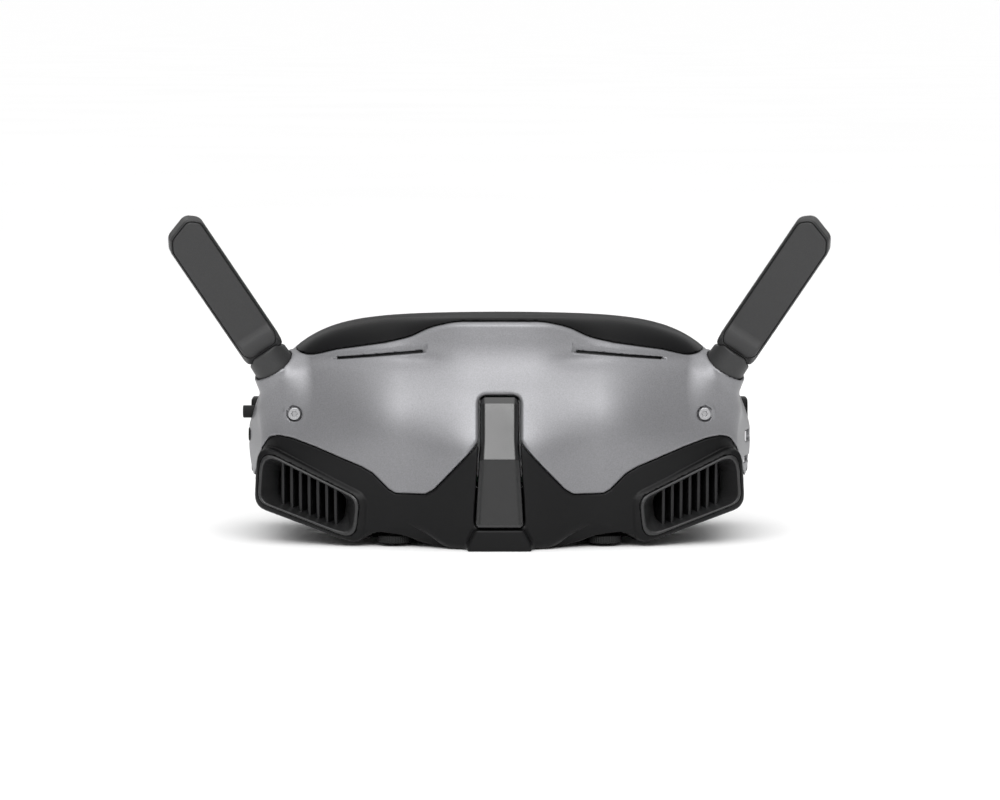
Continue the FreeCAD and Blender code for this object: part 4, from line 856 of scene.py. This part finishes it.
def knob_field(x, y, z):
    """Knurled disc under the cheek, with its spindle and pinion."""
    u, v, up = np.abs(x) - KNOB_X, y - KNOB_Y, z - 1.0
    radial = np.hypot(u, v)
    knurl = 0.16 * (0.5 + 0.5 * np.cos(KNURLS * np.arctan2(v, u)))
    disc = both(radial + knurl - KNOB_RADIUS, np.abs(up - 1.2) - 1.2, 0.45)
    disc = without(disc, both(np.abs(radial - 2.4) - 1.2, np.abs(up) - 0.35, 0.2), 0.2)
    stem = turned(up, radial, ((1.0, 6.7, 1.6), (6.6, 9.2, 1.95), (9.0, 12.2, 1.2)), 0.15)
    return either(disc, stem, 0.2)


def lug_field(x, y, z):
    """Headband lug: a rounded block on the side wall with a bored strap hole."""
    side = np.abs(x)
    block = both(np.abs(y - LUG_Y) - 6.0, np.abs(z - LUG_Z) - 12.0, 3.0)
    block = both(block, side - LUG_FACE, 0.8)
    block = both(block, -skin(x, y, z), 0.05)
    radial = np.hypot(y - LUG_Y, z - LUG_Z)
    hole = radial - 1.5 - 0.4 * np.clip(side - LUG_FACE + 0.4, 0, 1)
    groove = both(np.abs(radial - 3.4) - 0.25, LUG_FACE - 0.4 - side)
    return without(without(block, hole, 0.1), groove, 0.15)


def build_small_parts():
    add_piece("front_screw_pair", front_screws_field, (-67, -38, 38), (67, -18, 44), DETAIL_STEP * 0.55,
              "front_screws", "screw_steel", near=lambda x, y, z: np.abs(x) > 61)
    add_piece("stick_cap_ribbed", stick_cap_field, (-82.5, -0.5, 36.7), (-77.5, 4.5, 41.7), DETAIL_STEP * 0.5,
              "joystick_cap", "key_rubber", "stick_cap")
    add_piece("back_button_dished", back_button_field, (-81, -1.5, 28.5), (-75.8, 5.5, 35.5), DETAIL_STEP * 0.6,
              "back_button", "key_rubber", "back_key")
    for side, prefix in SIDES:
        low, high = (KNOB_X - 5.5, KNOB_Y - 5.5, 0.5), (KNOB_X + 5.5, KNOB_Y + 5.5, 13.7)
        add_piece(prefix + "_knurled_knob", knob_field, low, high, DETAIL_STEP * 0.6, prefix + "_diopter_knob",
                  "key_rubber", prefix + "_knob", place=mirrored(side))
        add_piece(prefix + "_strap_lug", lug_field, (74, 19, 17), (81, 33, 43), DETAIL_STEP,
                  prefix + "_headband_lug", "housing_black", place=mirrored(side))


# ---- face side

FOAM_OUTER = [(0, 68), (25, 67.2), (45, 63.6), (60, 56.5), (70.5, 45), (73.6, 32), (70, 18),
              (58, 5), (42, -0.6), (29, 0.4), (22, 6), (16.5, 15.5), (9, 23.2), (0, 26)]
EYE_OPENING = [(0, 55), (30, 55.5), (48, 52), (58, 41), (59, 30), (52, 17), (38, 11.5),
               (28, 15), (19, 26.5), (9, 33.5), (0, 35.5)]
RING_CENTRE_Z, RING_REACH = 34.0, 70.0
FOAM_INSET, FOAM_PRESSURE, FOAM_CAP, FOAM_VOXEL, FOAM_STEP = 1.3, 4.0, 1.4, 0.004, 1.2
EYE_Z, BARREL_RADIUS, BARREL_LENGTH, BARREL_FRONT = 36.0, 17.5, 19.0, -10.0
LENS_RADIUS, LENS_THICKNESS, FRONT_FACE_RADIUS, REAR_FACE_RADIUS, LENS_SETBACK = 15.45, 5.0, 120.0, 45.0, 1.0
PANEL_SCREWS = ((66.0, 44.0), (66.0, 26.0), (0.0, 62.5))
RIB_DEPTH, RIB_PITCH, RACK_FLOOR = 0.12, 1.2, 8.0


def smooth_outline(half, steps=5):
    """Closed smooth curve through the points of one half and their mirror images."""
    points = [np.array(p, float) for p in half + [(-x, z) for x, z in half[::-1] if x > 0]]
    count = len(points)
    outline = []
    for i in range(count):
        before, start, end, after = (points[(i + j) % count] for j in (-1, 0, 1, 2))
        for j in range(steps):
            t = j / steps
            point = 0.5 * (2 * start + (end - before) * t + (2 * before - 5 * start + 4 * end - after) * t ** 2
                           + (3 * start - before - 3 * end + after) * t ** 3)
            outline.append(tuple(point))
    return outline


FOAM_CURVE, EYE_CURVE = smooth_outline(FOAM_OUTER), smooth_outline(EYE_OPENING)


def ring_distances(x, z, inset):
    """Distances from the face ring's outside, shrunk by inset, and from its inside."""
    scale = 1 - inset / RING_REACH
    outer = outline_distance(FOAM_CURVE, x / scale, RING_CENTRE_Z + (z - RING_CENTRE_Z) / scale)
    return outer, -outline_distance(EYE_CURVE, x, z)


def frame_field(x, y, z):
    """Rigid ring that the foam is stuck to."""
    outer, inner = ring_distances(x, z, 1.2)
    slab = y - face_y(x, FACE_CENTRE - FOAM_THICKNESS) + FRAME_THICKNESS / 2
    ring = both(both(outer, inner, 0.4), np.abs(slab) - FRAME_THICKNESS / 2, 0.5)
    return both(ring, -z, 0.2)


def foam_field(x, y, z):
    """Pad with rolled edges, smaller than the CAD's by what swell adds."""
    outer, inner = ring_distances(x, z, 0.0)
    middle = face_y(x, FACE_CENTRE - FOAM_THICKNESS / 2)
    slab = np.abs(y - middle) - FOAM_THICKNESS / 2 + FOAM_INSET * 0.6
    return both(both(outer + FOAM_INSET, inner + FOAM_INSET, 1.0), slab, 4.0)


def swell(piece, pressure, cap, voxel, frames=20):
    """Stuffed look: the remeshed piece is blown up as cloth, no point moving further than cap millimetres."""
    scene = bpy.context.scene
    remesh = piece.modifiers.new("remesh", "REMESH")
    remesh.mode, remesh.voxel_size = "VOXEL", voxel
    apply_modifiers(piece)
    start = vertex_positions(piece.data)
    cloth = piece.modifiers.new("swell", "CLOTH")
    cloth.settings.use_pressure = True
    cloth.settings.uniform_pressure_force = pressure
    cloth.settings.tension_stiffness = 15
    cloth.settings.effector_weights.gravity = 0
    for number in range(1, frames + 1):
        scene.frame_set(number)
    graph = bpy.context.evaluated_depsgraph_get()
    moved = vertex_positions(piece.evaluated_get(graph).data)
    piece.modifiers.remove(cloth)
    scene.frame_set(1)
    shift = moved - start
    length = np.maximum(np.linalg.norm(shift, axis=1), 1e-9)[:, None]
    settled = start + shift * np.minimum(1.0, cap * MM / length)
    settled[:, 2] = np.maximum(settled[:, 2], 0.0)
    piece.data.vertices.foreach_set("co", settled.ravel())
    smooth = piece.modifiers.new("smooth", "SMOOTH")
    smooth.factor, smooth.iterations = 0.5, 4
    detail = piece.modifiers.new("detail", "SUBSURF")
    detail.levels = detail.render_levels = 1
    apply_modifiers(piece)
    bpy.context.view_layer.update()


def vertex_positions(mesh):
    positions = np.empty(len(mesh.vertices) * 3)
    mesh.vertices.foreach_get("co", positions)
    return positions.reshape(-1, 3)


def apply_modifiers(piece):
    """Replaces the piece's mesh by what its modifiers make of it."""
    graph = bpy.context.evaluated_depsgraph_get()
    mesh = bpy.data.meshes.new_from_object(piece.evaluated_get(graph), depsgraph=graph)
    piece.modifiers.clear()
    piece.data = mesh
    mesh.polygons.foreach_set("use_smooth", [True] * len(mesh.polygons))


def eye_panel_field(x, y, z):
    """Panel round the two barrels, with a raised lip round each window."""
    side = np.abs(x)
    panel = both(skin(x, y, z) + WALL + 0.45, np.abs(y - 6.4) - 0.8, 0.25)
    window = track(side, z - EYE_Z) - BARREL_RADIUS - 0.6
    lip = both(np.abs(window - 0.8) - 0.7, np.abs(y - 6.7) - 1.0, 0.25)
    panel = without(either(panel, both(lip, 5.8 - y), 0.3), window, 0.2)
    panel = without(panel, nose_arch(side, z) - BRIDGE_WALL - 0.25, 0.2)
    for screw_x, screw_z in PANEL_SCREWS:
        panel = without(panel, np.hypot(side - screw_x, z - screw_z) - 1.2, 0.15)
    return panel


def barrel_field(x, y, z):
    """Lens barrel with grip rings, a stepped mouth and the rack arm below it."""
    radial, depth = np.hypot(x, z), y - BARREL_FRONT
    ribs = RIB_DEPTH * np.cos(depth * 2 * math.pi / RIB_PITCH)
    ribs = ribs * blend(12.4, 13.0, depth) * (1 - blend(18.0, 18.6, depth))
    span = np.abs(depth - BARREL_LENGTH / 2) - BARREL_LENGTH / 2
    tube = both(radial - BARREL_RADIUS + RIB_DEPTH - ribs, span, 0.5)
    seat = both(radial - LENS_RADIUS - 0.05, BARREL_LENGTH - LENS_THICKNESS - LENS_SETBACK - depth)
    tube = without(tube, seat, 0.25)
    tube = without(tube, radial - LENS_RADIUS + 1.5, 0.3)
    floor = RACK_FLOOR - EYE_Z
    arm = box_field(x, depth, z, (-5.4, 0.4, floor), (-2.0, 2.8, -16.0), 0.3)
    bar = box_field(x, y, z, (-5.4, KNOB_Y - 1.6, floor), (-2.0, -8.6, 10.1 - EYE_Z), 0.3)
    return either(tube, either(arm, bar, 0.2), 0.2)


def eye_lens_field(x, y, z):
    """Biconvex lens: two spherical faces and a ground rim."""
    radial = np.hypot(x, z)
    depth = y - (BARREL_FRONT + BARREL_LENGTH - LENS_THICKNESS - LENS_SETBACK)
    front = np.sqrt(radial ** 2 + (depth - FRONT_FACE_RADIUS) ** 2) - FRONT_FACE_RADIUS
    rear = np.sqrt(radial ** 2 + (depth - LENS_THICKNESS + REAR_FACE_RADIUS) ** 2) - REAR_FACE_RADIUS
    return both(both(front, rear, 0.3), radial - LENS_RADIUS, 0.3)


def build_face_side():
    add_piece("face_frame_ribbed", frame_field, (-76, 8, -2), (76, 46, 72), SHELL_STEP * 1.2, "face_frame",
              "frame_black")
    foam = mesh_piece("face_pad", foam_field, (-76, 10, -3), (76, 56, 71), FOAM_STEP)
    swell(foam, FOAM_PRESSURE, FOAM_CAP, FOAM_VOXEL)
    finish_piece(foam, "face_foam", "foam")
    step = SHELL_STEP * 0.8
    add_piece("eye_panel_lipped", eye_panel_field, (-80, 5, -1), (80, 8, 72), step, "eye_panel", "frame_black")
    for side, prefix in SIDES:
        place = mirrored(side, (side * KNOB_X, 0, EYE_Z))
        add_piece(prefix + "_barrel_ringed", barrel_field, (-18.5, -36, -29.5), (18.5, 10, 18.5), step,
                  prefix + "_lens_barrel", "frame_black", prefix + "_barrel", place=place)
        add_piece(prefix + "_lens_biconvex", eye_lens_field, (-16.5, 0, -16.5), (16.5, 11, 16.5), step,
                  prefix + "_eye_lens", "lens_glass", prefix + "_barrel", place=place)


def paint_cad_nodes():
    """Every carried-over CAD node gets the finish of its record slot."""
    for part in RECORD["subparts"]:
        material = SLOT_MATERIALS[part["material_slot"]]
        for slot in frame["nodes"][part["node"]].material_slots:
            slot.material = material


# ---- stage, lights, camera

FLOOR_RADIUS = 2500.0
SKY_LOW, SKY_HIGH, SKY_BEHIND, SKY_BESIDE = 0.10, 2.0, 0.35, 0.2
LIGHT_TARGET = (0, -0.02, 0.045)
CAMERA_DISTANCE, CAMERA_ELEVATION, CAMERA_TARGET = 1.6, math.radians(4.52), (0.0, -0.020, 0.0446)
SCALE_AT_TARGET, FRAME_WIDTH_PX, SENSOR, CAMERA_SHIFT = 0.000315, 1000, 36.0, 0.0005


def build_stage():
    """Pale floor that runs out of sight."""
    bpy.ops.mesh.primitive_circle_add(vertices=96, radius=FLOOR_RADIUS, fill_type="NGON", location=(0, 0, 0))
    floor = bpy.context.object
    floor.name = "studio_floor"
    material, tree, shader = new_material("floor_white")
    white = ramp(tree, noise(tree, 3, 2.0), (0.96, 0.96, 0.96), (0.98, 0.98, 0.98))
    wire(tree, shader, {"Base Color": white, "Roughness": 0.9, "Specular IOR Level": 0.1})
    floor.data.materials.append(material)


def add_light(name, location, size, power):
    """Rectangular softbox that faces the goggles; size is (width, height) in metres."""
    data = bpy.data.lights.new(name, "AREA")
    data.shape = "RECTANGLE"
    data.size, data.size_y = size
    data.energy = power
    light = bpy.data.objects.new(name, data)
    light.location = location
    light.rotation_euler = (Vector(LIGHT_TARGET) - Vector(location)).to_track_quat("-Z", "Y").to_euler()
    bpy.context.scene.collection.objects.link(light)


def build_light():
    """Sky that is bright overhead and fades to the horizon, the back and the sides, and a few softboxes."""
    world = bpy.data.worlds.new("studio")
    world.use_nodes = True
    tree = world.node_tree
    sky = add_node(tree, "SeparateXYZ", {"Vector": add_node(tree, "TexCoord", {}).outputs["Generated"]}).outputs
    height = ramp(tree, sky["Z"], SKY_LOW, SKY_HIGH, 0.0, 0.55)
    behind = ramp(tree, sky["Y"], 1.0, SKY_BEHIND, 0.0, 0.7)
    beside = ramp(tree, math_node(tree, "ABSOLUTE", sky["X"]), 1.0, SKY_BESIDE, 0.25, 0.8)
    strength = math_node(tree, "MULTIPLY", math_node(tree, "MULTIPLY", height, behind), beside)
    wire(tree, tree.nodes["Background"], {"Color": (1.0, 1.0, 1.0, 1.0), "Strength": strength})
    bpy.context.scene.world = world
    add_light("key", (0.0, -0.86, 0.60), (0.9, 0.32), 4.4)
    for side in (-1, 1):
        add_light("side%d" % side, (side * 0.95, 0.10, 0.30), (0.4, 0.5), 0.1)
        add_light("rear%d" % side, (side * 0.55, 0.9, 0.55), (0.6, 0.6), 0.6)


def build_camera():
    """Camera in front and a little above, at the photograph's scale."""
    data = bpy.data.cameras.new("camera")
    data.sensor_width = SENSOR
    data.lens = SENSOR * CAMERA_DISTANCE / (SCALE_AT_TARGET * FRAME_WIDTH_PX)
    data.shift_x = CAMERA_SHIFT
    data.clip_end = 2 * FLOOR_RADIUS
    camera = bpy.data.objects.new("camera", data)
    back = Vector((0, -math.cos(CAMERA_ELEVATION), math.sin(CAMERA_ELEVATION)))
    camera.location = Vector(CAMERA_TARGET) + back * CAMERA_DISTANCE
    camera.rotation_euler = (-back).to_track_quat("-Z", "Y").to_euler()
    bpy.context.scene.collection.objects.link(camera)
    bpy.context.scene.camera = camera


bpy.context.scene.view_settings.view_transform = "Standard"
build_shells()
build_front()
build_antennas()
build_small_parts()
build_face_side()
paint_cad_nodes()
build_stage()
build_light()
build_camera()
